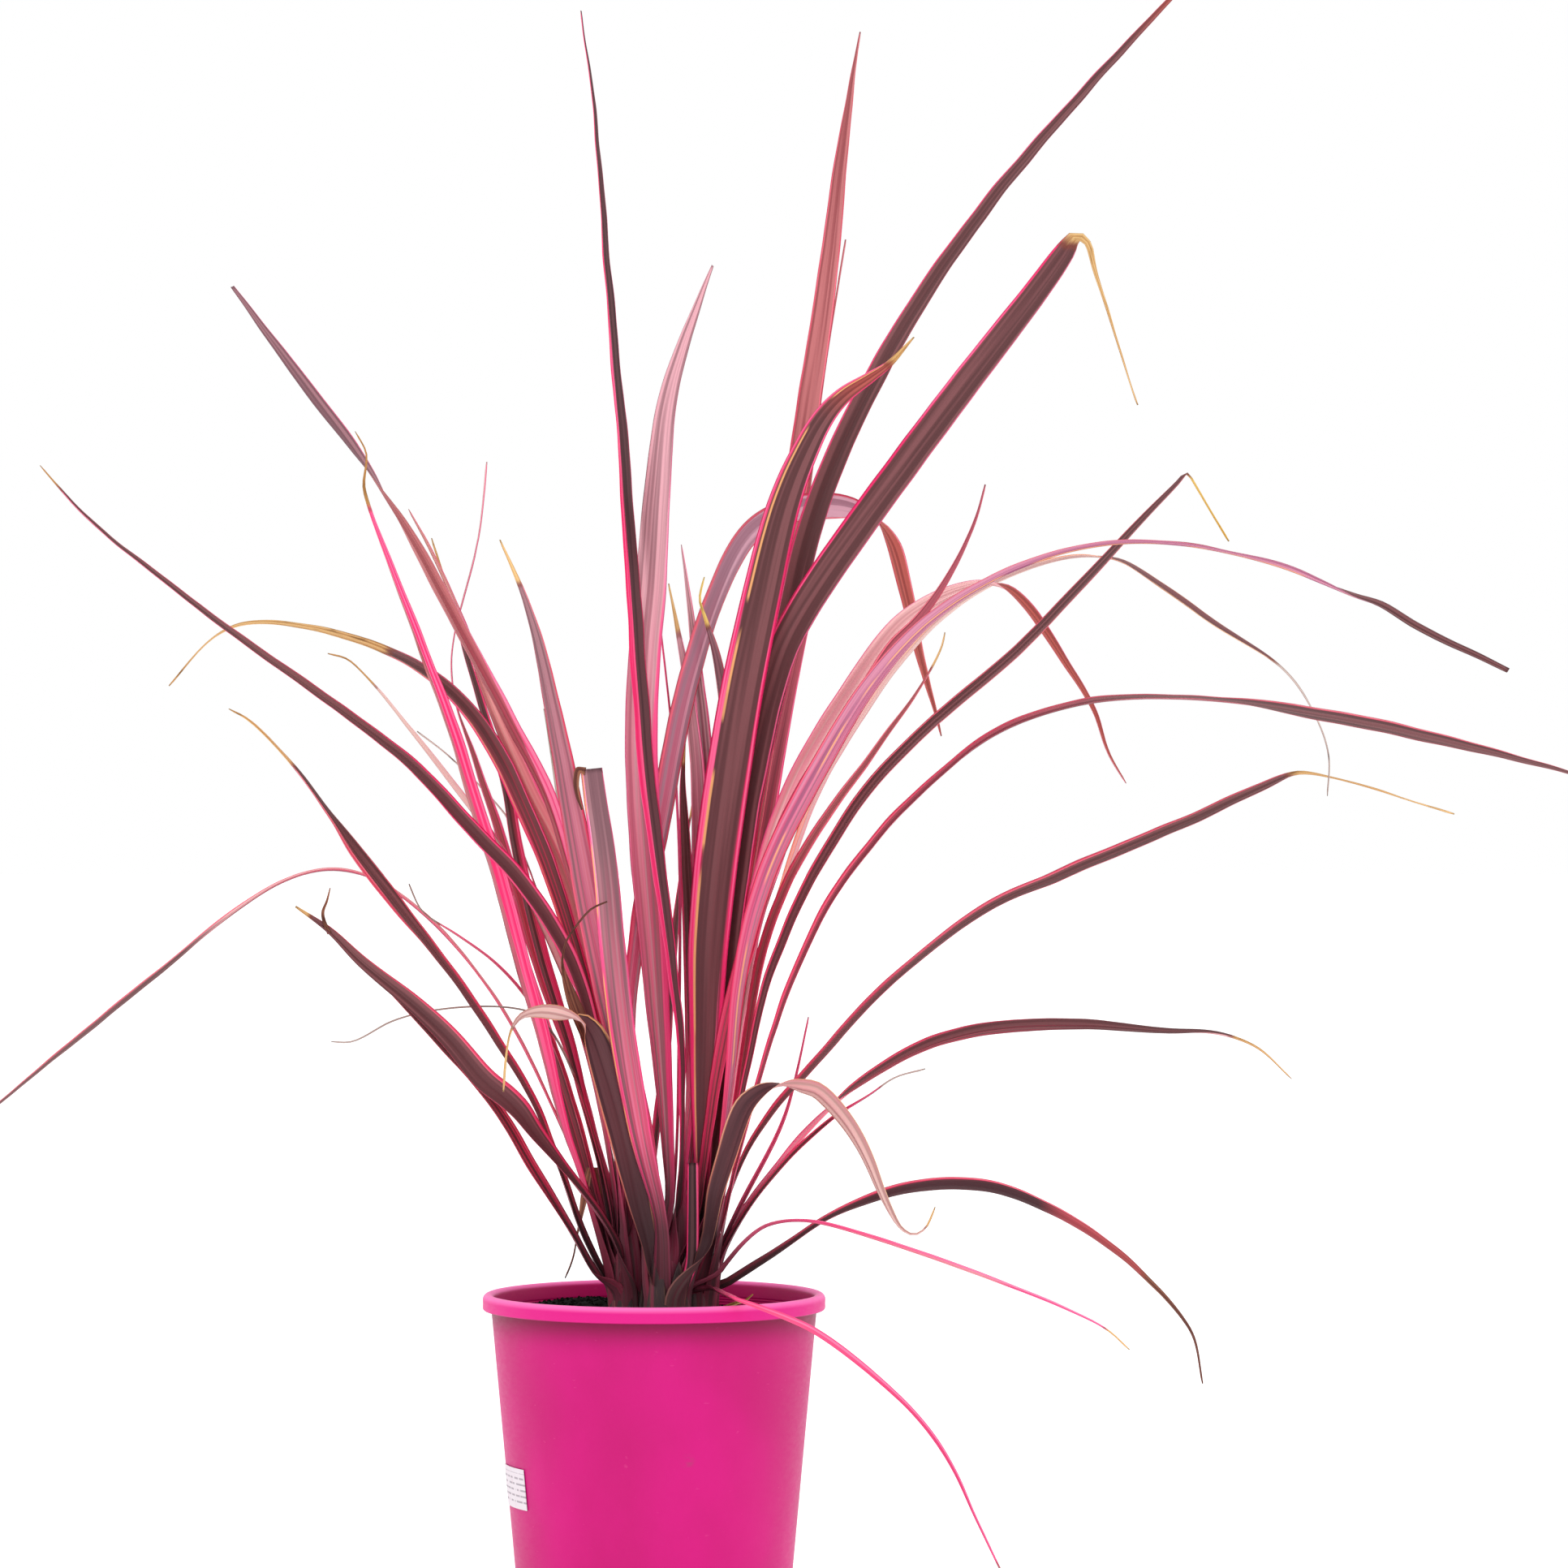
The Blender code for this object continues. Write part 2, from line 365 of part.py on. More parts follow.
def clear_objects():
    """Empty the scene of its objects."""
    for thing in list(bpy.data.objects):
        bpy.data.objects.remove(thing, do_unlink=True)


def new_collection(name):
    """Return an empty collection under the scene."""
    group = bpy.data.collections.new(name)
    bpy.context.scene.collection.children.link(group)
    return group


def make_material(name, colour, roughness):
    """Return a plain material of one colour."""
    material = bpy.data.materials.new(name)
    material.use_nodes = True
    shader = material.node_tree.nodes["Principled BSDF"]
    shader.inputs["Base Color"].default_value = (*colour, 1.0)
    shader.inputs["Roughness"].default_value = roughness
    shader.inputs["Metallic"].default_value = 0.0
    return material


def add_object(name, mesh, group, material=None):
    """Put a mesh in a collection as a named object."""
    thing = bpy.data.objects.new(name, mesh)
    group.objects.link(thing)
    if material:
        mesh.materials.append(material)
    return thing


def bake_modifiers(thing):
    """Replace an object's mesh by what its modifiers make of it."""
    graph = bpy.context.evaluated_depsgraph_get()
    baked = bpy.data.meshes.new_from_object(thing.evaluated_get(graph))
    thing.modifiers.clear()
    thing.data = baked


def turned_object(name, profile, steps, group, material=None):
    """Turn a profile of (radius, height) in millimetres about the Z axis."""
    shape = bmesh.new()
    points = [shape.verts.new((radius * MM, 0.0, height * MM)) for radius, height in profile]
    for start, stop in zip(points, points[1:]):
        shape.edges.new((start, stop))
    mesh = bpy.data.meshes.new(name)
    shape.to_mesh(mesh)
    shape.free()
    thing = add_object(name, mesh, group, material)
    screw = thing.modifiers.new("Turn", "SCREW")
    screw.angle = math.tau
    screw.steps = steps
    screw.render_steps = steps
    screw.use_merge_vertices = True
    screw.merge_threshold = 0.00001
    return thing


def cut(thing, cutters):
    """Subtract each cutter from an object."""
    for cutter in cutters:
        cutter.hide_render = True
        cutter.display_type = "WIRE"
        modifier = thing.modifiers.new("Cut", "BOOLEAN")
        modifier.operation = "DIFFERENCE"
        modifier.solver = "EXACT"
        modifier.object = cutter


def arc(centre, radius, start, stop, count):
    """Return points on an arc, with angles in degrees."""
    angles = np.radians(np.linspace(start, stop, count))
    return [(centre[0] + radius * math.cos(a), centre[1] + radius * math.sin(a)) for a in angles]


def wall_radius(height):
    """Return the outer radius of the pot's wall at a height."""
    share = height / (POT_HEIGHT - RIM_DEPTH)
    return BODY_BOTTOM_RADIUS + (BODY_TOP_RADIUS - BODY_BOTTOM_RADIUS) * share


def inner_radius(height):
    """Return the radius of the pot's inside at a height below the rim."""
    return wall_radius(height) - WALL


def make_pot(group, cutters, material):
    """Turn the pot and drill its drainage holes."""
    lip = (RIM_RADIUS - RIM_INNER_RADIUS) / 2
    profile = [(0.0, FLOOR), (inner_radius(FLOOR), FLOOR)]
    profile += [(inner_radius(POT_HEIGHT - RIM_DEPTH), POT_HEIGHT - RIM_DEPTH)]
    profile += arc((RIM_RADIUS - lip, POT_HEIGHT - lip), lip, 180, 0, LIP_STEPS)
    under = POT_HEIGHT - RIM_DEPTH
    profile += arc((RIM_RADIUS - RIM_ROUNDING, under + RIM_ROUNDING), RIM_ROUNDING, 0, -90, 3)
    profile += [(wall_radius(under), under)]
    profile += arc((BODY_BOTTOM_RADIUS - HEEL_ROUNDING, HEEL_ROUNDING), HEEL_ROUNDING, 5, -90, 4)
    profile += [(0.0, 0.0)]
    pot = turned_object("pot", profile, TURNED_STEPS, group, material)
    drains = []
    for index in range(DRAIN_COUNT):
        angle = math.tau * (index + DRAIN_TURN) / DRAIN_COUNT
        place = (DRAIN_CIRCLE * math.cos(angle) * MM, DRAIN_CIRCLE * math.sin(angle) * MM)
        drains.append(cylinder(f"drain_{index + 1}", place, DRAIN_RADIUS, -OVERCUT,
                               FLOOR + OVERCUT, DRAIN_SIDES, cutters))
    cut(pot, drains)
    pot.data.shade_smooth()
    return pot


def cylinder(name, place, radius, bottom, top, sides, group):
    """Return a closed upright cylinder with sizes in millimetres."""
    shape = bmesh.new()
    bmesh.ops.create_cone(shape, cap_ends=True, segments=sides, radius1=radius * MM,
                          radius2=radius * MM, depth=(top - bottom) * MM)
    middle = Vector((*place, (top + bottom) / 2 * MM))
    bmesh.ops.translate(shape, verts=shape.verts, vec=middle)
    mesh = bpy.data.meshes.new(name)
    shape.to_mesh(mesh)
    shape.free()
    return add_object(name, mesh, group)


def make_mix(group, cutters, material):
    """Fill the pot with potting mix, lumpy on top, with a socket for each stem."""
    level = RIM_MIDDLE + MIX_LEVEL
    inner = inner_radius(level) - FIT
    floor_radius = inner_radius(FLOOR) - FIT
    rings = np.linspace(0.0, inner, MIX_RINGS)
    profile = [(radius, level) for radius in rings]
    profile += [(floor_radius, FLOOR + FIT), (0.0, FLOOR + FIT)]
    mix = turned_object("potting_mix", profile, TURNED_STEPS // 2, group, material)
    bake_modifiers(mix)
    for vertex in mix.data.vertices:
        reach = vertex.co.xy.length / MM
        if vertex.co.z > (level - MIX_BORDER) * MM and reach < inner - MIX_BORDER:
            lump = noise.noise(vertex.co * MIX_LUMP_SCALE) * MIX_LUMP
            vertex.co.z += lump * MM
    sockets = []
    for name, (across, deep) in STEMS.items():
        place = (across * MM, deep * MM)
        sockets.append(cylinder(f"socket_{name}", place, STEM_RADIUS + FIT, level - SOCKET_DEPTH,
                                level + SOCKET_DEPTH, SOCKET_SIDES, cutters))
    cut(mix, sockets)
    return mix


def make_stem(name, group, material):
    """Turn one short stem, stepped like leaf scars, that the leaves stand on."""
    bottom = MIX_LEVEL - SOCKET_DEPTH + FIT
    profile = [(0.0, STEM_LEDGES[-1][1])]
    for (radius, height), lower in zip(reversed(STEM_LEDGES), [*reversed(STEM_LEDGES[:-1]), None]):
        profile.append((radius, height))
        profile.append((radius, lower[1] if lower else bottom))
    profile.append((0.0, bottom))
    profile = [(radius, height + RIM_MIDDLE) for radius, height in profile]
    stem = turned_object(f"stem_{name}", profile, STEM_SIDES, group, material)
    bake_modifiers(stem)
    across, deep = STEMS[name]
    stem.location = (across * MM, deep * MM, 0.0)
    return stem


def in_space(points):
    """Spread points seen at the pot's axis along their lines of sight."""
    points = np.asarray(points, dtype=float)
    scale = 1.0 + points[:, 2] / EYE_AWAY
    across = EYE_ACROSS + (points[:, 0] - EYE_ACROSS) * scale
    up = EYE_UP + (points[:, 1] - EYE_UP) * scale
    return np.column_stack((across, points[:, 2], up))


def smooth_path(points, per_reach):
    """Return points on a centripetal Catmull-Rom curve through the given ones."""
    points = np.asarray(points, dtype=float)
    ends = np.vstack((2 * points[0] - points[1], points, 2 * points[-1] - points[-2]))
    gaps = np.sqrt(np.linalg.norm(np.diff(ends[:, :3], axis=0), axis=1))
    path = []
    for start in range(len(points) - 1):
        first, second, third, fourth = ends[start:start + 4]
        before, here, after = gaps[start:start + 3]
        leave = third - second + here * ((second - first) / before - (third - first) / (before + here))
        reach = third - second + here * ((fourth - third) / after - (fourth - second) / (here + after))
        for step in range(per_reach):
            t = step / per_reach
            path.append(second + leave * t
                        + (3 * (third - second) - 2 * leave - reach) * t ** 2
                        + (2 * (second - third) + leave + reach) * t ** 3)
    path.append(points[-1])
    return np.array(path)


def heading(leaf):
    """Return the direction, seen from above in degrees, that a leaf leaves its stem in."""
    across, deep = STEMS[leaf.stem]
    aim = in_space(leaf.route[2:3])[0] if len(leaf.route) > 2 else in_space(leaf.route[-1:])[0]
    return math.degrees(math.atan2(aim[1] - deep, aim[0] - across))


def foot_width(ring):
    """Return how wide the foot of a leaf is on a ring of its stem."""
    return min(FOOT_WIDTH, STEM_RINGS[ring] * FOOT_SHARE)


def foot_angles():
    """Share out the feet round each ring of each stem, in the order of their headings."""
    angles = {}
    for stem in STEMS:
        for ring, radius in enumerate(STEM_RINGS):
            members = [leaf for leaf in LEAVES if leaf.stem == stem and leaf.ring == ring]
            members.sort(key=heading)
            wanted = [heading(leaf) for leaf in members]
            reach = min(1.0, (foot_width(ring) + FOOT_SPACING) / 2 / radius)
            least = math.degrees(2 * math.asin(reach))
            least = min(least, 360.0 / max(len(members), 1))
            for _ in range(SHARING_ROUNDS):
                for left in range(len(members)):
                    right = (left + 1) % len(members)
                    turn = 360.0 if right == 0 else 0.0
                    short = least - (wanted[right] + turn - wanted[left])
                    if short > 0 and right != left:
                        wanted[left] -= short / 2
                        wanted[right] += short / 2
            angles.update({leaf.name: angle for leaf, angle in zip(members, wanted)})
    return angles


def blade_widths(leaf, shares):
    """Return the blade's half widths along its length, from foot to tip."""
    foot = min(foot_width(leaf.ring), leaf.width) / leaf.width
    rise = np.clip(shares / SWELL_REACH, 0.0, 1.0)
    swell = foot + (1.0 - foot) * np.sin(rise * math.pi / 2) ** SWELL_POWER
    fall = np.clip((shares - TAPER_START) / (1.0 - TAPER_START), 0.0, 1.0)
    taper = 1.0 - (1.0 - leaf.end) * fall ** leaf.taper
    width = leaf.width * swell * taper
    if leaf.dry < 1.0:
        reach = max(WITHER_REACH, (1 - leaf.dry) * WITHER_SHARE)
        withered = np.clip((shares - leaf.dry) / reach, 0.0, 1.0)
        thin = max(LEAST_WIDTH, leaf.width * WITHERED_WIDTH)
        width = width + (np.minimum(width, thin) - width) * withered
    return np.maximum(width, LEAST_WIDTH) / 2


def unit(vectors):
    """Scale each row of an array to length one."""
    return vectors / np.linalg.norm(vectors, axis=1)[:, None]


class Blade:
    """A leaf's sampled centre line with its sizes and its facing at each place."""

    def __init__(self, leaf, angle):
        across, deep = STEMS[leaf.stem]
        way = np.array([math.cos(math.radians(angle)), math.sin(math.radians(angle)), 0.0])
        foot = np.array([across, deep, 0.0]) + way * STEM_RINGS[leaf.ring]
        foot[2] = STEM_LEDGES[leaf.ring][1] + FIT + FOOT_GAP
        knee = foot + way * KNEE_OUT + np.array([0.0, 0.0, KNEE_UP])
        route = in_space([point[:3] for point in leaf.route])
        foot_turn = angle if leaf.side > 0 else 180.0 - angle
        foot_turn = (foot_turn + 180.0) % 360.0 - 180.0
        turns = [foot_turn, foot_turn] + [point[3] for point in leaf.route]
        reaches = np.column_stack((np.vstack((foot, knee, route)), turns))
        path = spaced(smooth_path(reaches, REACH_SAMPLES))
        self.leaf = leaf
        self.centre = path[:, :3]
        self.rest = self.centre.copy()
        self.turn = np.radians(path[:, 3])
        reach = np.linalg.norm(np.diff(self.centre, axis=0), axis=1)
        self.shares = np.concatenate(([0.0], np.cumsum(reach))) / reach.sum()
        self.half = blade_widths(leaf, self.shares)
        grown = np.clip(self.shares / CHANNEL_REACH, 0.0, 1.0)
        slope = FOOT_CHANNEL + (BLADE_CHANNEL - FOOT_CHANNEL) * grown
        self.channel = self.half * np.tan(np.radians(slope))
        held = np.linalg.norm(self.centre - foot, axis=1)
        self.free = np.clip((held - HELD_LENGTH) / FREEING_LENGTH, 0.0, 1.0)
        self.face()

    def face(self):
        """Work out the direction, side and upper face of the blade at each place."""
        along = unit(np.gradient(self.centre, axis=0))
        along[0] = (0.0, 0.0, 1.0)
        out = unit(np.array([0.0, -1.0, 0.0]) + along * along[:, 1:2])
        inner = np.cross(out, along) * self.leaf.side
        self.upper = np.cos(self.turn)[:, None] * inner + np.sin(self.turn)[:, None] * out
        self.side = np.cross(along, self.upper)

    def boxes(self):
        """Return the centres, axes and half sizes of boxes that cover the blade."""
        centres, axes, sizes, weights = [], [], [], []
        chord = np.diff(self.centre, axis=0)
        length = np.linalg.norm(chord, axis=1)
        along = chord / length[:, None]
        twist = np.linalg.norm(np.diff(self.upper, axis=0), axis=1) / SUB_BOXES / 2
        for step in range(SUB_BOXES):
            t = (step + 0.5) / SUB_BOXES
            side = self.side[:-1] * (1 - t) + self.side[1:] * t
            side = unit(side - along * np.einsum("ni,ni->n", side, along)[:, None])
            half = self.half[:-1] * (1 - t) + self.half[1:] * t
            channel = self.channel[:-1] * (1 - t) + self.channel[1:] * t
            centres.append(self.centre[:-1] * (1 - t) + self.centre[1:] * t)
            axes.append(np.stack((along, side, np.cross(side, along)), axis=1))
            sizes.append(np.column_stack((
                length / SUB_BOXES / 2, half + CLEARANCE / 2,
                (channel + THICKNESS) / 2 + half * twist + CLEARANCE / 2)))
            weights.append(np.full(len(length), t))
        return [np.concatenate(part) for part in (centres, axes, sizes, weights)]


def spaced(path):
    """Keep the places of a fine path that its bends and twists call for."""
    step = np.diff(path[:, :3], axis=0)
    length = np.linalg.norm(step, axis=1)
    ways = step / length[:, None]
    bend = np.degrees(np.arccos(np.clip((ways[:-1] * ways[1:]).sum(axis=1), -1.0, 1.0)))
    bend = np.concatenate((bend[:1], bend)) / 2 + np.concatenate((bend, bend[-1:])) / 2
    twist = np.abs(np.diff(path[:, 3]))
    need = length / STATION_LENGTH + bend / STATION_BEND + twist / STATION_TWIST
    total = np.concatenate(([0.0], np.cumsum(need)))
    count = max(LEAST_STATIONS, math.ceil(total[-1]) + 1)
    marks = np.linspace(0.0, total[-1], count)
    return np.column_stack([np.interp(marks, total, path[:, index]) for index in range(4)])


def close_pairs(centres, reach, owner):
    """List the pairs of boxes of different blades that are near each other."""
    square = (centres ** 2).sum(axis=1)
    apart = square[:, None] + square[None] - 2 * centres @ centres.T
    bound = reach[:, None] + reach[None]
    return np.nonzero((apart < bound ** 2) & (owner[:, None] < owner[None]))


def pushes(centres, axes, sizes, one, two):
    """Return how far each pair of boxes has to part, and which pairs touch."""
    offset = centres[two] - centres[one]
    best_cost = np.full(len(one), np.inf)
    best_push = np.zeros((len(one), 3))
    clear = np.zeros(len(one), dtype=bool)
    for source in (one, two):
        for member in range(3):
            axis = axes[source, member]
            spread = (np.abs(np.einsum("nij,nj->ni", axes[one], axis)) * sizes[one]).sum(axis=1)
            spread += (np.abs(np.einsum("nij,nj->ni", axes[two], axis)) * sizes[two]).sum(axis=1)
            along = np.einsum("ni,ni->n", offset, axis)
            deep = spread - np.abs(along)
            clear |= deep <= 0
            if member == 0:
                continue
            cost = deep * (1.0 + SIDEWAYS_COST * (1.0 - np.abs(axis[:, 1])))
            better = cost < best_cost
            best_cost[better] = cost[better]
            way = np.where(along >= 0, 1.0, -1.0)
            best_push[better] = (axis * (way * (deep + SPARE_PUSH))[:, None])[better]
    return best_push, ~clear


def ease_apart(blades):
    """Bend the blades clear of each other, mostly in depth, so the front view stays."""
    for turn in range(EASING_ROUNDS):
        parts = [blade.boxes() for blade in blades]
        counts = [len(part[0]) for part in parts]
        centres, axes, sizes, weights = (np.concatenate(part) for part in zip(*parts))
        owner = np.repeat(np.arange(len(blades)), counts)
        if turn % PAIRING_ROUNDS == 0:
            reach = np.linalg.norm(sizes, axis=1) + PAIRING_REACH
            one, two = close_pairs(centres, reach, owner)
        push, hit = pushes(centres, axes, sizes, one, two)
        if not hit.any() and turn % PAIRING_ROUNDS == 0:
            break
        moves = np.zeros_like(centres)
        count = np.zeros(len(centres))
        np.add.at(moves, one[hit], -push[hit] / 2)
        np.add.at(moves, two[hit], push[hit] / 2)
        np.add.at(count, one[hit], 1)
        np.add.at(count, two[hit], 1)
        moves /= np.maximum(count, 1)[:, None]
        start = 0
        for blade, size in zip(blades, counts):
            pull = PULL_BACK if turn < EASING_ROUNDS * PULLING_SHARE else 0.0
            shift(blade, moves[start:start + size], weights[start:start + size], pull)
            start += size


def shift(blade, moves, weights, pull):
    """Move a blade's stations by what its boxes ask for."""
    if not moves.any():
        return
    segments = len(blade.centre) - 1
    moves = moves.reshape(SUB_BOXES, segments, 3)
    weights = weights.reshape(SUB_BOXES, segments, 1)
    wish = np.zeros_like(blade.centre)
    strength = np.zeros((len(blade.centre), 1))
    asked = (np.abs(moves).sum(axis=2, keepdims=True) > 0) * 1.0
    wish[:-1] += (moves * (1 - weights)).sum(axis=0)
    wish[1:] += (moves * weights).sum(axis=0)
    strength[:-1] += (asked * (1 - weights)).sum(axis=0)
    strength[1:] += (asked * weights).sum(axis=0)
    move = wish / np.maximum(strength, 0.5)
    smooth = move.copy()
    smooth[1:-1] = 0.25 * move[:-2] + 0.5 * move[1:-1] + 0.25 * move[2:]
    move = np.clip(move + SMOOTHING * (smooth - move), -LARGEST_STEP, LARGEST_STEP)
    bent = blade.centre - blade.rest + move * blade.free[:, None]
    bent[:, (0, 2)] *= 1.0 - pull
    bent[1:-1] += STIFFNESS * (bent[:-2] - 2 * bent[1:-1] + bent[2:])
    blade.centre = blade.rest + bent
    blade.face()


def blade_mesh(blade):
    """Skin a blade: a shallow channel of even thickness that narrows to its tip."""
    shape = bmesh.new()
    loops = []
    for place in range(len(blade.centre)):
        middle, side, upper = blade.centre[place], blade.side[place], blade.upper[place]
        half, channel = blade.half[place], blade.channel[place]
        spine = middle - upper * channel / 2
        edge = middle + upper * channel / 2
        thick = upper * THICKNESS / 2
        corners = (edge - side * half + thick, spine + thick, edge + side * half + thick,
                   edge + side * half - thick, spine - thick, edge - side * half - thick)
        lifted = [Vector((point[0], point[1], point[2] + RIM_MIDDLE)) * MM for point in corners]
        loops.append([shape.verts.new(point) for point in lifted])
    for lower, higher in zip(loops, loops[1:]):
        for start in range(6):
            stop = (start + 1) % 6
            quad = (lower[start], lower[stop], higher[stop], higher[start])
            if start in (3, 4):
                shape.faces.new((quad[0], quad[1], quad[3]))
                shape.faces.new((quad[1], quad[2], quad[3]))
            else:
                shape.faces.new((quad[0], quad[1], quad[2]))
                shape.faces.new((quad[0], quad[2], quad[3]))
    for loop in (loops[0], loops[-1]):
        shape.faces.new((loop[0], loop[1], loop[4], loop[5]))
        shape.faces.new((loop[1], loop[2], loop[3], loop[4]))
    bmesh.ops.recalc_face_normals(shape, faces=shape.faces)
    mesh = bpy.data.meshes.new(blade.leaf.name)
    shape.to_mesh(mesh)
    shape.free()
    return mesh


def make_blades():
    """Lay out all the blades and bend them clear of each other."""
    angles = foot_angles()
    blades = [Blade(leaf, angles[leaf.name]) for leaf in LEAVES]
    ease_apart(blades)
    return blades


def make_label(group, material):
    """Bend a small paper label round the pot's wall."""
    shape = bmesh.new()
    grid = []
    middle = math.radians(-90.0 - LABEL_TURN)
    for layer in (0.0, LABEL_THICKNESS):
        sheet = []
        for row in range(LABEL_ROWS):
            height = LABEL_MIDDLE + LABEL_TALL * (row / (LABEL_ROWS - 1) - 0.5)
            radius = wall_radius(height) / math.cos(math.pi / TURNED_STEPS) + FIT + layer
            line = []
            for column in range(LABEL_COLUMNS):
                angle = middle + LABEL_WIDTH * (column / (LABEL_COLUMNS - 1) - 0.5) / radius
                line.append(shape.verts.new((radius * math.cos(angle) * MM,
                                             radius * math.sin(angle) * MM, height * MM)))
            sheet.append(line)
        grid.append(sheet)
    inner, outer = grid
    for row in range(LABEL_ROWS - 1):
        for column in range(LABEL_COLUMNS - 1):
            for sheet in grid:
                shape.faces.new((sheet[row][column], sheet[row][column + 1],
                                 sheet[row + 1][column + 1], sheet[row + 1][column]))
    rim_inner = border(inner)
    rim_outer = border(outer)
    for index in range(len(rim_inner)):
        after = (index + 1) % len(rim_inner)
        shape.faces.new((rim_inner[index], rim_inner[after], rim_outer[after], rim_outer[index]))
    bmesh.ops.recalc_face_normals(shape, faces=shape.faces)
    mesh = bpy.data.meshes.new("label")
    shape.to_mesh(mesh)
    shape.free()
    return add_object("label", mesh, group, material)


def border(sheet):
    """Return the points round the edge of a grid of points."""
    return (sheet[0] + [line[-1] for line in sheet[1:]] + sheet[-1][-2::-1]
            + [line[0] for line in sheet[-2:0:-1]])


def main():
    """Build the potted plant."""
    clear_objects()
    plant = new_collection("potted_cabbage_palm")
    cutters = new_collection("cutters")
    pot_plastic = make_material("pot_plastic", (0.72, 0.02, 0.22), 0.45)
    mix_matter = make_material("potting_mix", (0.02, 0.018, 0.016), 0.95)
    stem_bark = make_material("stem_bark", (0.09, 0.03, 0.03), 0.8)
    leaf_skin = make_material("leaf_skin", (0.16, 0.04, 0.05), 0.5)
    label_paper = make_material("label_paper", (0.85, 0.82, 0.83), 0.7)
    make_pot(plant, cutters, pot_plastic)
    make_mix(plant, cutters, mix_matter)
    make_label(plant, label_paper)
    for name in STEMS:
        make_stem(name, plant, stem_bark)
    for blade in make_blades():
        add_object(blade.leaf.name, blade_mesh(blade), plant, leaf_skin)


main()
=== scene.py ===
"""The looks of a potted cabbage palm with pink-edged strap leaves.

Each strap leaf is swept along the centre line of the solid that it stands for,
so it lies where that solid lies. The pot, the potting mix, the stems and the
label are dressed round the same frame.
"""
import itertools
import logging
import math
from dataclasses import dataclass
from enum import Enum

import bmesh
import bpy
import numpy as np
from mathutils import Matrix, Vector, noise


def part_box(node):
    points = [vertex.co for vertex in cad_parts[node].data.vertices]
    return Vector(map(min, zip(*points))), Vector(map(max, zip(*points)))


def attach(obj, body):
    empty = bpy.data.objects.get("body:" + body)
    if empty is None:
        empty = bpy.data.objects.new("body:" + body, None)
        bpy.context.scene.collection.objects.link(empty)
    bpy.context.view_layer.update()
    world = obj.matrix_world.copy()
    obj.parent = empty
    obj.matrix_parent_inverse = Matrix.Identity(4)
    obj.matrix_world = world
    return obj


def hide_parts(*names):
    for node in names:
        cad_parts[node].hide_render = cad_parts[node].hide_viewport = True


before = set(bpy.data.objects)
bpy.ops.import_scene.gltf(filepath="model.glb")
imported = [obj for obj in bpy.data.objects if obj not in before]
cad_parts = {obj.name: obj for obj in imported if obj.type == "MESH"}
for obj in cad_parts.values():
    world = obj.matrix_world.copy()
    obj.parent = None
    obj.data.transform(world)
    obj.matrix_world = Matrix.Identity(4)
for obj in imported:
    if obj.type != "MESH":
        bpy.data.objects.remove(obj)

LOG = logging.getLogger("cabbage_palm")
MM = 0.001
Inputs = dict[int | str, object]
WELD = 0.00002
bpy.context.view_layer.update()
Triple = tuple[float, float, float]
Spread = float | tuple[float, ...]
# The fifteen ways to pair off the six corners of a ring
PAIRINGS = [way for way in itertools.combinations(itertools.combinations(range(6), 2), 3)
            if len({corner for pair in way for corner in pair}) == 6]


def srgb(*shown: float) -> Triple:
    """Turn red, green and blue display values from 0 to 255 into linear light."""
    shares = [value / 255 for value in shown]
    return tuple(s / 12.92 if s <= 0.04045 else ((s + 0.055) / 1.055) ** 2.4 for s in shares)


def put_object(name: str, data: bpy.types.ID) -> bpy.types.Object:
    """Put a mesh, a light or a camera into the scene under this name."""
    thing = bpy.data.objects.new(name, data)
    bpy.context.scene.collection.objects.link(thing)
    return thing


def put_shape(name: str, shape: bmesh.types.BMesh) -> bpy.types.Object:
    """Put an edited mesh into the scene and free it.

    Args:
        name: The object's name.
        shape: The edited mesh.

    Returns:
        The object.
    """
    mesh = bpy.data.meshes.new(name)
    shape.to_mesh(mesh)
    shape.free()
    return put_object(name, mesh)


def put_line(name: str, points: list[tuple]) -> bpy.types.Object:
    """Put a line of edges into the scene.

    Args:
        name: The object's name.
        points: The places along the line.

    Returns:
        The object.
    """
    mesh = bpy.data.meshes.new(name)
    mesh.from_pydata(points, [(place, place + 1) for place in range(len(points) - 1)], [])
    return put_object(name, mesh)


def turn_profile(name: str, points: list[tuple[float, float]], steps: int) -> bpy.types.Object:
    """Turn a profile about the Z axis.

    Args:
        name: The object's name.
        points: Pairs of radius and height.
        steps: Facets round the axis.

    Returns:
        The object, with the turn as its modifier.
    """
    thing = put_line(name, [(radius, 0.0, height) for radius, height in points])
    screw = thing.modifiers.new("Turn", "SCREW")
    screw.angle = math.tau
    screw.steps = screw.render_steps = steps
    screw.use_merge_vertices = True
    screw.merge_threshold = 0.000005
    return thing


def settle(thing: bpy.types.Object) -> bpy.types.Mesh:
    """Apply an object's modifiers.

    Args:
        thing: The object.

    Returns:
        Its new mesh.
    """
    graph = bpy.context.evaluated_depsgraph_get()
    mesh = bpy.data.meshes.new_from_object(thing.evaluated_get(graph))
    thing.modifiers.clear()
    thing.data = mesh
    return mesh


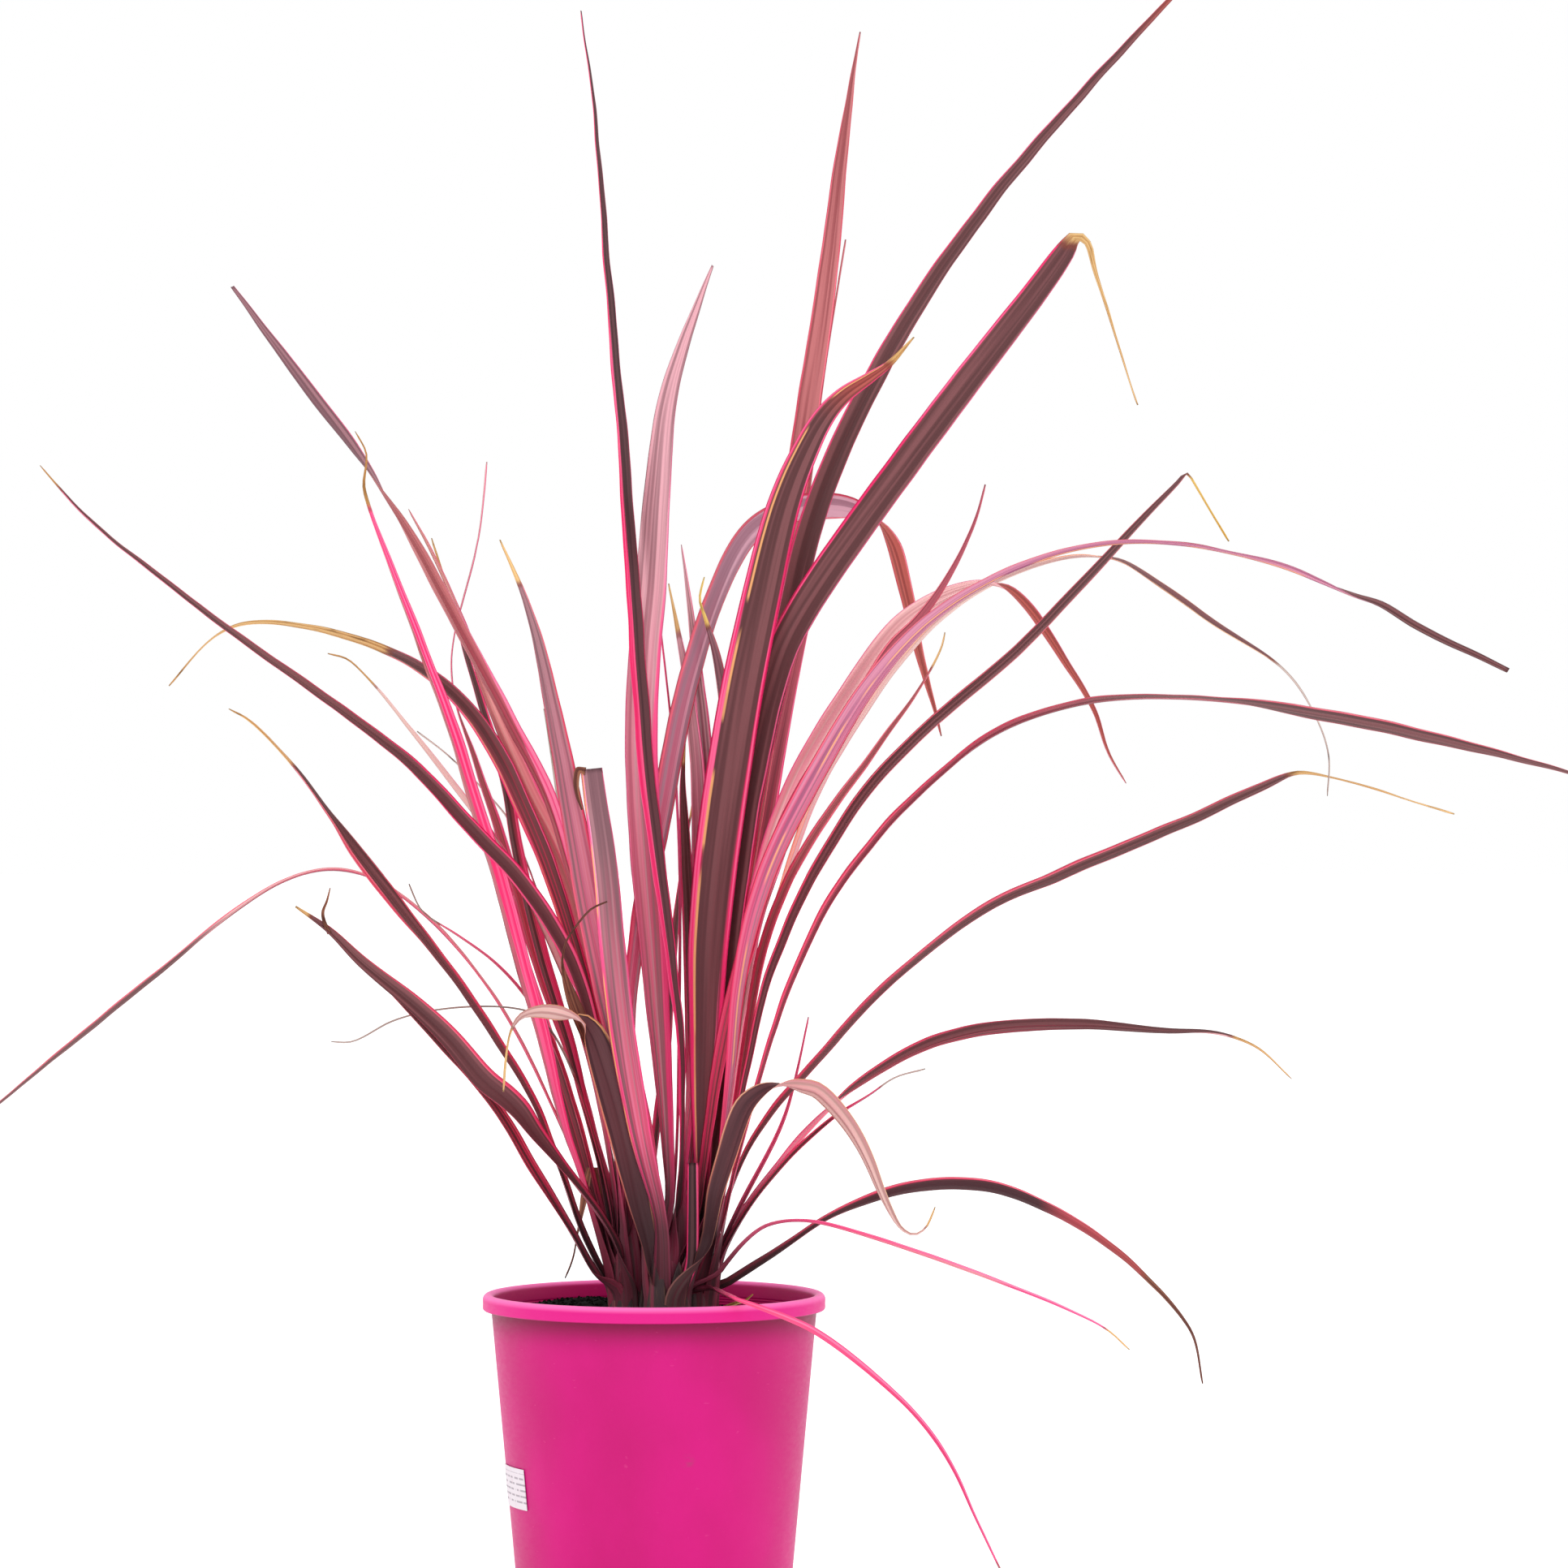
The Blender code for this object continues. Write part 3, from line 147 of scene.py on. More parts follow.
@dataclass(frozen=True)
class Term:
    """A node's output, with which sums are written as with plain numbers.

    Attributes:
        graph: The graph that holds the node.
        socket: The output's socket.
    """

    graph: "Graph"
    socket: bpy.types.NodeSocket

    def __add__(self, other: object) -> "Term":
        """Add a number or an output."""
        return self.graph.sum("ADD", self, other)

    def __sub__(self, other: object) -> "Term":
        """Take away a number or an output."""
        return self.graph.sum("SUBTRACT", self, other)

    def __rsub__(self, other: float) -> "Term":
        """Take this output away from a number."""
        return self.graph.sum("SUBTRACT", other, self)

    def __mul__(self, other: object) -> "Term":
        """Multiply by a number or an output."""
        return self.graph.sum("MULTIPLY", self, other)

    def __pow__(self, power: float) -> "Term":
        """Raise to a power."""
        return self.graph.sum("POWER", self, power)

    def __abs__(self) -> "Term":
        """Drop the sign."""
        return self.graph.sum("ABSOLUTE", self)

    def rise(self, start: object, stop: object) -> "Term":
        """Return a smooth step from 0 at start to 1 at stop."""
        inputs = {0: self, 1: start, 2: stop}
        return self.graph.term("ShaderNodeMapRange", inputs, interpolation_type="SMOOTHSTEP")


class Graph:
    """Short calls for adding nodes and links to a node tree."""

    def __init__(self, tree: bpy.types.NodeTree) -> None:
        """Keep the tree that the calls add to."""
        self.tree = tree

    def fill(self, node: bpy.types.Node, inputs: Inputs) -> None:
        """Give inputs of a node a value or a link.

        Args:
            node: The node.
            inputs: A value or an output for each input, by its name or place.
        """
        for place, given in inputs.items():
            if isinstance(given, Term):
                self.tree.links.new(given.socket, node.inputs[place])
            else:
                node.inputs[place].default_value = given

    def add(self, kind: str, inputs: Inputs | None = None, **settings: object) -> bpy.types.Node:
        """Add a node.

        Args:
            kind: The node's type name.
            inputs: Its inputs, as fill takes them.
            settings: Properties of the node to set.

        Returns:
            The new node.
        """
        node = self.tree.nodes.new(kind)
        for name, value in settings.items():
            setattr(node, name, value)
        self.fill(node, inputs or {})
        return node

    def term(self, kind: str, inputs: Inputs | None = None, output: int | str = 0,
             **settings: object) -> Term:
        """Add a node, as add does, and return one of its outputs."""
        return Term(self, self.add(kind, inputs, **settings).outputs[output])

    def sum(self, operation: str, *values: object) -> Term:
        """Add a maths node with numbers or outputs as its inputs."""
        return self.term("ShaderNodeMath", dict(enumerate(values)), operation=operation)

    def vector(self, operation: str, *values: object) -> Term:
        """Add a vector maths node, in which a scale takes a vector and a number."""
        places = (0, 3) if operation == "SCALE" else (0, 1)
        return self.term("ShaderNodeVectorMath", dict(zip(places, values)), operation=operation)

    def parts(self, vector: Term) -> list[Term]:
        """Take a vector apart into its three numbers."""
        return [Term(self, output) for output in self.add("ShaderNodeSeparateXYZ", {0: vector}).outputs]

    def joined(self, *parts: object) -> Term:
        """Put a vector together from its three numbers."""
        return self.term("ShaderNodeCombineXYZ", dict(enumerate(parts)))

    def mix(self, share: object, first: object, second: object) -> Term:
        """Add a mix of two colours or outputs, with the share that the second one takes."""
        colours = [(*given, 1.0) if isinstance(given, tuple) else given for given in (first, second)]
        return self.term("ShaderNodeMix", {0: share, 6: colours[0], 7: colours[1]}, 2, data_type="RGBA")

    def noise(self, place: Term, scale: Triple, detail: float = 2.0) -> Term:
        """Add noise at these coordinates, stretched by its own scale along each axis."""
        stretched = self.vector("MULTIPLY", place, scale)
        return self.term("ShaderNodeTexNoise", {"Vector": stretched, "Scale": 1.0, "Detail": detail})

    def reading(self, name: str, output: str = "Fac") -> Term:
        """Read a mesh attribute in a shader."""
        return self.term("ShaderNodeAttribute", output=output, attribute_name=name)


class Surface(Graph):
    """The graph of a new material."""

    def __init__(self, name: str) -> None:
        """Make an empty material of this name."""
        self.material = bpy.data.materials.new(name)
        self.material.use_nodes = True
        super().__init__(self.material.node_tree)
        self.shader = self.tree.nodes["Principled BSDF"]

    def place(self) -> Term:
        """Return the place on the object in metres."""
        return self.term("ShaderNodeTexCoord", output="Object")

    def painted(self, colour: Term, rough: object, bump: tuple[Term, float, float],
                specular: float = 0.5) -> bpy.types.Material:
        """Join the finished values to the shader.

        Args:
            colour: The base colour.
            rough: The roughness.
            bump: Height from 0 to 1, what 1 is in metres, and the share of it that shows.
            specular: The specular level.

        Returns:
            The material.
        """
        height, depth, strength = bump
        normal = self.term("ShaderNodeBump", {"Strength": strength, "Distance": depth, "Height": height})
        self.fill(self.shader, {"Base Color": colour, "Roughness": rough, "Normal": normal,
                                "Specular IOR Level": specular})
        return self.material


class MeshTree(Graph):
    """A Geometry Nodes tree that starts from an object's mesh."""

    NAME = ""
    INPUTS: dict[str, str] = {}

    def __init__(self) -> None:
        """Make the tree with its named inputs, its layout and its painted end."""
        super().__init__(bpy.data.node_groups.new(self.NAME, "GeometryNodeTree"))
        face = self.tree.interface
        for name, kind in {"Geometry": "Geometry", **self.INPUTS}.items():
            face.new_socket(name, in_out="INPUT", socket_type=f"NodeSocket{kind}")
        face.new_socket("Geometry", in_out="OUTPUT", socket_type="NodeSocketGeometry")
        outputs = self.add("NodeGroupInput").outputs
        given = {name: Term(self, outputs[name]) for name in ("Geometry", *self.INPUTS)}
        real = self.term("GeometryNodeRealizeInstances", {0: self.lay_out(given)})
        self.add("NodeGroupOutput", {0: self.term("GeometryNodeSetMaterial", {
            "Geometry": real, "Material": given["Finish"]})})

    def lay_out(self, given: dict[str, Term]) -> Term:
        """Lay out the nodes between the inputs and the painted end."""
        return given["Geometry"]

    def apply(self, thing: bpy.types.Object, name: str, **values: object) -> bpy.types.Object:
        """Run the tree on an object and keep the result as a plain mesh.

        Args:
            thing: The object.
            name: Its new name.
            values: The tree's inputs by their names.

        Returns:
            The object.
        """
        modifier = thing.modifiers.new("Tree", "NODES")
        modifier.node_group = self.tree
        for item in self.tree.interface.items_tree:
            if item.in_out == "INPUT" and item.name in values:
                modifier[item.identifier] = values[item.name]
        settle(thing).name = thing.name = name
        return thing


class Tone(Enum):
    """The living colours of one face of a leaf: its ground and its streaks."""

    BURGUNDY = (srgb(90, 53, 55), srgb(124, 76, 79))
    DEEP = (srgb(62, 38, 42), srgb(90, 56, 60))
    WINE = (srgb(126, 54, 66), srgb(170, 80, 94))
    RUST = (srgb(142, 62, 58), srgb(178, 84, 76))
    ROSE = (srgb(150, 76, 80), srgb(188, 110, 112))
    TAUPE = (srgb(120, 82, 90), srgb(158, 112, 120))
    MAUVE = (srgb(156, 110, 118), srgb(218, 160, 170))
    LAVENDER = (srgb(168, 122, 140), srgb(216, 168, 186))
    PLUM = (srgb(152, 84, 116), srgb(202, 132, 156))
    BLUSH = (srgb(206, 148, 150), srgb(240, 188, 188))
    SALMON = (srgb(206, 134, 130), srgb(238, 174, 166))
    PALE = (srgb(178, 134, 130), srgb(216, 180, 172))
    HOT = (srgb(206, 54, 106), srgb(248, 102, 156))


class Edge(Enum):
    """The colours of a leaf's margins: the margin and its lighter threads."""

    HOT = (srgb(238, 40, 106), srgb(252, 110, 156))
    ROSE = (srgb(208, 62, 90), srgb(236, 114, 132))
    PINK = (srgb(244, 86, 140), srgb(252, 146, 182))
    CREAM = (srgb(232, 150, 112), srgb(250, 208, 162))


class Dry(Enum):
    """The colours of a withered tip: its ground and its streaks."""

    TAN = (srgb(176, 124, 70), srgb(226, 186, 128))
    GOLD = (srgb(190, 140, 50), srgb(240, 206, 120))
    GREY = (srgb(150, 126, 118), srgb(206, 188, 180))
    BROWN = (srgb(92, 52, 46), srgb(150, 96, 74))


@dataclass(frozen=True)
class Look:
    """What is special about one leaf.

    A spread is one number, or several at even steps from the foot to the tip.

    Attributes:
        upper: Tone of the upper face.
        under: Tone of the underside.
        left: Share of the half width that the margin at the picture's left covers.
        right: The same at the picture's right.
        edge: Colours of the margins.
        dry: Colours of the withered tip.
        dry_from: Share of the length where withering starts.
        gold: How strong the golden line is.
        line: Where the golden line runs, from -1 at the left to 1 at the right.
        hot: How strongly the base glows pink.
        flush: How much of the upper face the glow reaches.
        sheath: Width of the clasping base in metres.
        broad: How much wider the blade is than the solid that it stands for.
        turn_at: Share of the length where the two faces change their tones.
    """

    upper: Tone = Tone.BURGUNDY
    under: Tone = Tone.MAUVE
    left: Spread = 0.22
    right: Spread = 0.16
    edge: Edge = Edge.HOT
    dry: Dry = Dry.TAN
    dry_from: float = 2.0
    gold: float = 0.0
    line: float = -0.5
    hot: float = 0.95
    flush: float = 0.8
    sheath: float = 0.015
    broad: Spread = 1.0
    turn_at: float = 2.0


LOOKS = {
    "left_01": Look(left=0.2, right=0.18, dry_from=0.975, flush=0.0,
        broad=(1.0, 1.0, 0.85, 0.7, 0.65, 0.7)),
    "left_02": Look(upper=Tone.TAUPE, under=Tone.ROSE, left=(0.0, 0.0, 0.0, 0.1, 0.2, 0.2),
        right=(0.9, 0.9, 0.7, 0.1, 0.0, 0.0), edge=Edge.PINK, broad=(0.8, 0.8, 0.8, 0.8, 1.2, 1.3)),
    "left_03": Look(left=0.3, right=0.14, dry_from=0.74, gold=0.9, line=-0.72,
        broad=(0.85, 0.85, 0.9, 1.2, 1.3, 1.0)),
    "left_04": Look(upper=Tone.WINE, under=Tone.ROSE, left=0.0, right=1.1, dry_from=0.915, hot=0.6,
        broad=(1.0, 1.0, 1.0, 1.0, 1.0, 1.0, 1.0, 1.0, 0.9, 0.45)),
    "left_05": Look(under=Tone.SALMON, left=0.2, right=0.2, edge=Edge.PINK),
    "left_06": Look(left=0.14, right=0.36, dry_from=0.95),
    "left_07": Look(upper=Tone.ROSE, under=Tone.BLUSH, left=0.3, right=0.3, edge=Edge.PINK,
        broad=(1.0, 1.0, 1.0, 1.0, 0.6)),
    "left_08": Look(upper=Tone.PALE, under=Tone.PALE, left=0.1, right=0.1, edge=Edge.PINK, dry_from=0.92),
    "left_09": Look(upper=Tone.ROSE, dry=Dry.GREY, dry_from=0.72, sheath=0.006),
    "left_10": Look(left=(0.0, 0.0, 0.0, 0.0, 0.5, 0.9, 0.4), right=(0.3, 0.3, 0.3, 0.1, 0.0),
        edge=Edge.ROSE, dry_from=0.88, hot=0.5, flush=0.0, broad=(0.8, 0.75, 0.62, 0.65, 0.9, 1.0, 1.0)),
    "left_11": Look(upper=Tone.BLUSH, under=Tone.BURGUNDY, left=(0.3, 0.3, 0.1, 0.0),
        right=(0.4, 0.3, 0.1, 0.2, 0.5, 0.5, 0.45), edge=Edge.ROSE,
        broad=(0.5, 0.3, 0.28, 0.3, 1.2, 2.4, 2.6), turn_at=0.66),
    "left_12": Look(upper=Tone.HOT, left=0.4, right=0.4, edge=Edge.ROSE, dry=Dry.GREY, dry_from=0.9),
    "left_13": Look(left=0.05, right=0.2, edge=Edge.ROSE, dry_from=0.97, flush=0.0,
        broad=(0.8, 0.76, 0.68, 0.64, 0.68, 0.78)),
    "left_14": Look(left=0.24, right=0.22, edge=Edge.ROSE),
    "left_15": Look(upper=Tone.ROSE, dry=Dry.GREY, dry_from=0.45, sheath=0.006),
    "left_16": Look(upper=Tone.DEEP, under=Tone.PALE, left=0.1, right=0.12, edge=Edge.CREAM, dry_from=0.86,
        gold=0.9, line=0.88, hot=0.6, flush=0.0),
    "left_17": Look(under=Tone.TAUPE, left=0.16, right=0.2, edge=Edge.ROSE, dry_from=0.94, hot=0.75),
    "left_18": Look(under=Tone.TAUPE, left=0.3, right=0.12, edge=Edge.PINK, gold=1.0, line=-0.86, hot=0.75),
    "left_19": Look(upper=Tone.DEEP, under=Tone.DEEP, edge=Edge.ROSE, dry=Dry.BROWN, dry_from=0.4,
        sheath=0.008),
    "left_20": Look(upper=Tone.DEEP, under=Tone.DEEP, dry=Dry.BROWN, dry_from=0.45, gold=0.8, sheath=0.007),
    "middle_01": Look(upper=Tone.DEEP, left=(0.8, 0.8, 0.9, 0.9, 0.7, 0.4, 0.3), right=0.12, flush=0.0,
        broad=(1.0, 1.2, 1.45, 1.45, 1.2, 1.0, 1.0)),
    "middle_02": Look(left=(0.12, 0.12, 0.12, 0.05, 0.0), right=(0.28, 0.28, 0.28, 0.12, 0.0),
        edge=Edge.PINK),
    "middle_03": Look(left=0.2, right=0.2, edge=Edge.PINK, dry_from=0.93),
    "middle_04": Look(left=0.2, right=0.3, edge=Edge.PINK),
    "middle_05": Look(under=Tone.TAUPE, left=0.2, right=0.2, edge=Edge.ROSE, dry=Dry.GOLD, dry_from=0.93),
    "middle_06": Look(upper=Tone.RUST, under=Tone.LAVENDER, left=0.2, right=0.2, edge=Edge.ROSE,
        broad=(1.0, 1.0, 1.0, 1.0, 1.3, 1.3)),
    "middle_07": Look(left=0.3, right=0.2, dry_from=0.96),
    "middle_08": Look(left=0.3, right=0.2, dry_from=0.96),
    "middle_09": Look(upper=Tone.HOT, under=Tone.HOT, sheath=0.006),
    "middle_10": Look(upper=Tone.DEEP, under=Tone.DEEP, left=0.28, right=0.5, hot=0.0, sheath=0.009),
    "right_01": Look(upper=Tone.ROSE, under=Tone.BLUSH, left=0.2, right=0.2, edge=Edge.ROSE),
    "right_02": Look(upper=Tone.ROSE, edge=Edge.ROSE, sheath=0.006),
    "right_03": Look(under=Tone.RUST, left=0.24, right=0.18, dry_from=0.965, gold=0.9, line=-0.66,
        flush=0.0, turn_at=0.9),
    "right_04": Look(under=Tone.RUST, left=0.18, right=0.1, turn_at=0.92),
    "right_05": Look(right=0.1, dry_from=0.86, flush=0.0),
    "right_06": Look(upper=Tone.WINE, left=0.3, right=0.2, edge=Edge.ROSE, broad=1.6),
    "right_07": Look(upper=Tone.RUST, under=Tone.BLUSH, left=0.1, edge=Edge.PINK),
    "right_08": Look(under=Tone.PLUM, left=(0.14, 0.14, 0.14, 0.1, 0.0),
        right=(0.24, 0.24, 0.2, 0.1, 0.1, 0.0), edge=Edge.ROSE, gold=0.8, line=-0.1,
        broad=(0.66, 0.66, 0.66, 0.66, 0.62, 0.5, 0.3, 0.26, 0.62, 0.8, 0.9)),
    "right_09": Look(under=Tone.PALE, edge=Edge.CREAM, dry=Dry.GREY, dry_from=0.88, gold=0.8,
        broad=(1.25, 1.25, 1.25, 1.5, 1.9, 1.4, 1.0)),
    "right_10": Look(upper=Tone.ROSE, left=0.3, right=0.3, edge=Edge.ROSE, dry_from=0.95),
    "right_11": Look(right=0.14, edge=Edge.ROSE, dry=Dry.GOLD, dry_from=0.93, flush=0.0,
        broad=(1.0, 1.0, 1.0, 1.2, 1.5, 1.5)),
    "right_12": Look(upper=Tone.WINE, under=Tone.BURGUNDY, left=0.3, right=0.1, edge=Edge.ROSE, flush=0.0,
        broad=(0.66, 0.66, 0.66, 0.6, 0.5, 1.2, 1.8, 1.8, 1.5), turn_at=0.6),
    "right_13": Look(left=0.26, right=0.12, edge=Edge.ROSE, dry_from=0.83, flush=0.0),
    "right_14": Look(under=Tone.BLUSH, left=0.0, right=(0.3, 0.2, 0.08, 0.0), edge=Edge.ROSE, dry_from=0.9,
        broad=0.8),
    "right_15": Look(under=Tone.HOT, left=0.3, right=0.2, dry=Dry.GREY, dry_from=0.86, sheath=0.009,
        turn_at=0.7),
    "right_16": Look(upper=Tone.HOT, under=Tone.HOT, sheath=0.007),
    "right_17": Look(upper=Tone.DEEP, under=Tone.PALE, left=0.12, right=0.1, edge=Edge.CREAM, dry_from=0.96,
        hot=0.5, flush=0.0, broad=(0.82, 0.8, 0.72, 0.66, 0.7)),
    "right_18": Look(upper=Tone.DEEP, under=Tone.RUST, left=(0.3, 0.3, 0.22, 0.1, 0.0), right=0.0,
        edge=Edge.ROSE, dry=Dry.BROWN, dry_from=0.8, hot=0.6, flush=0.0, broad=0.7, turn_at=0.62),
    "right_19": Look(upper=Tone.HOT, under=Tone.BLUSH, left=0.4, right=0.4, edge=Edge.PINK, dry_from=0.94,
        sheath=0.006, broad=(0.7, 0.75, 1.0, 1.0), turn_at=0.72),
    "right_20": Look(upper=Tone.HOT, under=Tone.HOT, left=0.3, right=0.3, edge=Edge.PINK, dry=Dry.GREY,
        dry_from=0.95, sheath=0.005, broad=0.66),
    "back_01": Look(),
    "back_02": Look(under=Tone.BLUSH, dry=Dry.GREY, dry_from=0.8, broad=(1.0, 1.0, 1.0, 0.9, 0.4)),
    "back_03": Look(upper=Tone.WINE),
    "back_04": Look(under=Tone.BLUSH),
}


@dataclass(frozen=True)
class StrapLeafFinish:
    """The skin of a strap leaf, which follows its length and its width.

    Attributes:
        warmth: Colour that warms the whole base of the underside.
        glow: Colour of the streaks near the base of the underside.
        gleam: Colour of the threads in those streaks.
        blush: Colour that warms the base of the upper face.
        flame: Colour of the streaks near the base of the upper face.
        hot_edge: Colour of the margins near the base.
        foot: Colour of the leaf's very base, the sheath's dark colour deepened with painted shade deep in
            the clump.
        cream: Colour of the golden lines.
        scorch: Colour of the border of the withered parts.
    """

    upper: Tone
    under: Tone
    edge: Edge
    dry: Dry
    warmth: Triple = srgb(178, 74, 100)
    glow: Triple = srgb(236, 64, 114)
    gleam: Triple = srgb(246, 104, 148)
    blush: Triple = srgb(116, 52, 66)
    flame: Triple = srgb(220, 60, 98)
    hot_edge: Triple = srgb(236, 38, 108)
    foot: Triple = srgb(68, 44, 48)
    cream: Triple = srgb(238, 170, 112)
    scorch: Triple = srgb(128, 62, 44)

    def face(self, skin: Surface, tone: Tone, veins: Term, streaks: Term) -> Term:
        """Colour one living face.

        Args:
            skin: The material's graph.
            tone: The face's ground and streak colours.
            veins: Fine lines along the blade, from 0 to 1.
            streaks: Broader bands along the blade, from 0 to 1.

        Returns:
            The colour.
        """
        ground, light = tone.value
        banded = skin.mix(streaks.rise(0.44, 0.58), ground, light)
        lined = skin.mix(veins.rise(0.5, 0.75) * 0.35, banded, light)
        return skin.mix(veins.rise(0.48, 0.25) * 0.4, lined, tuple(0.75 * value for value in ground))

    def margin(self, skin: Surface, across: Term, hot: Term, wander: Term) -> Term:
        """Tell how much of the margin's colour shows.

        Args:
            skin: The material's graph.
            across: Place across the blade from -1 to 1.
            hot: How much the base glows.
            wander: How far the margin's border strays.

        Returns:
            The share.
        """
        left, right, _ = skin.parts(skin.reading("edges", "Vector"))
        is_right = skin.sum("GREATER_THAN", across, 0.0)
        width = (right * is_right + left * (1.0 - is_right)) * (hot * 1.5 + 1.0)
        begin = 1.0 - width
        reach = abs(across) + wander * width
        return width.rise(0.0, 0.06) * reach.rise(begin, begin + 0.10)

    def make(self) -> bpy.types.Material:
        """Build the material.

        Returns:
            The finished material.
        """
        names = (self.upper, self.under, self.edge, self.dry)
        skin = Surface("strap_leaf_" + "_".join(tone.name.lower() for tone in names))
        place = skin.reading("place", "Vector")
        across, hot, foot = (skin.reading(name) for name in ("across", "glow", "foot"))
        under = abs(skin.reading("under") - skin.reading("turned"))
        strand = skin.joined(across, *skin.parts(place)[1:])
        veins = skin.noise(place, (0.5, 0.006, 1.0), 1.0)
        fine = skin.noise(place, (1.2, 0.010, 1.0), 0.0)
        blotches = skin.noise(place, (0.16, 0.05, 1.0), 3.0)
        streaks = skin.noise(strand, (2.3, 0.003, 1.0), 1.0)
        threads = skin.noise(strand, (7.0, 0.004, 1.0), 1.0)
        bands = skin.noise(strand, (4.2, 0.003, 3.0), 0.0)
        shade = skin.noise(strand, (0.3, 0.022, 1.0), 1.0)
        lines = veins * 0.7 + fine * 0.3
        glow = skin.mix(threads.rise(0.45, 0.6), self.glow, self.gleam)
        lower = skin.mix(hot * 0.45, self.face(skin, self.under, lines, streaks), self.warmth)
        lower = skin.mix(hot * bands.rise(0.38, 0.50), lower, glow)
        flush = hot.rise(0.1, 0.6) * bands.rise(0.50, 0.62) * skin.reading("flush")
        upper = skin.mix(hot * 0.4, self.face(skin, self.upper, lines, streaks), self.blush)
        living = skin.mix(under, skin.mix(flush, upper, self.flame), lower)
        # The dark foot: the sheath's own colour deepened with painted shade deep in the clump; it also dims
        # the margins
        living = skin.mix(foot * 0.9, living, self.foot)
        rim = self.margin(skin, across, hot, (threads - 0.5) * 0.9) * (1.0 - foot * 0.85)
        margin = skin.mix(threads.rise(0.46, 0.60), *self.edge.value)
        living = skin.mix(rim, living, skin.mix(hot * 0.7, margin, self.hot_edge))
        gold = abs(across - skin.reading("line")).rise(0.085, 0.03) * skin.reading("gold")
        living = skin.mix(gold * shade.rise(0.40, 0.52) * (1.0 - foot), living, self.cream)
        withered, pale = self.dry.value
        dead = skin.mix(lines.rise(0.35, 0.65), withered, pale)
        dead = skin.mix(blotches.rise(0.55, 0.75), dead, tuple(0.5 * value for value in withered))
        spread = skin.reading("dryness") + (blotches - 0.5) * 0.5
        gone = spread.rise(0.35, 0.7)
        living = skin.mix(spread.rise(0.2, 0.35) * 0.6, living, self.scorch)
        rough = gone * 0.3 + 0.46 + lines * 0.12
        return skin.painted(skin.mix(gone, living, dead), rough, (veins, 0.0006, 0.35), 0.16)


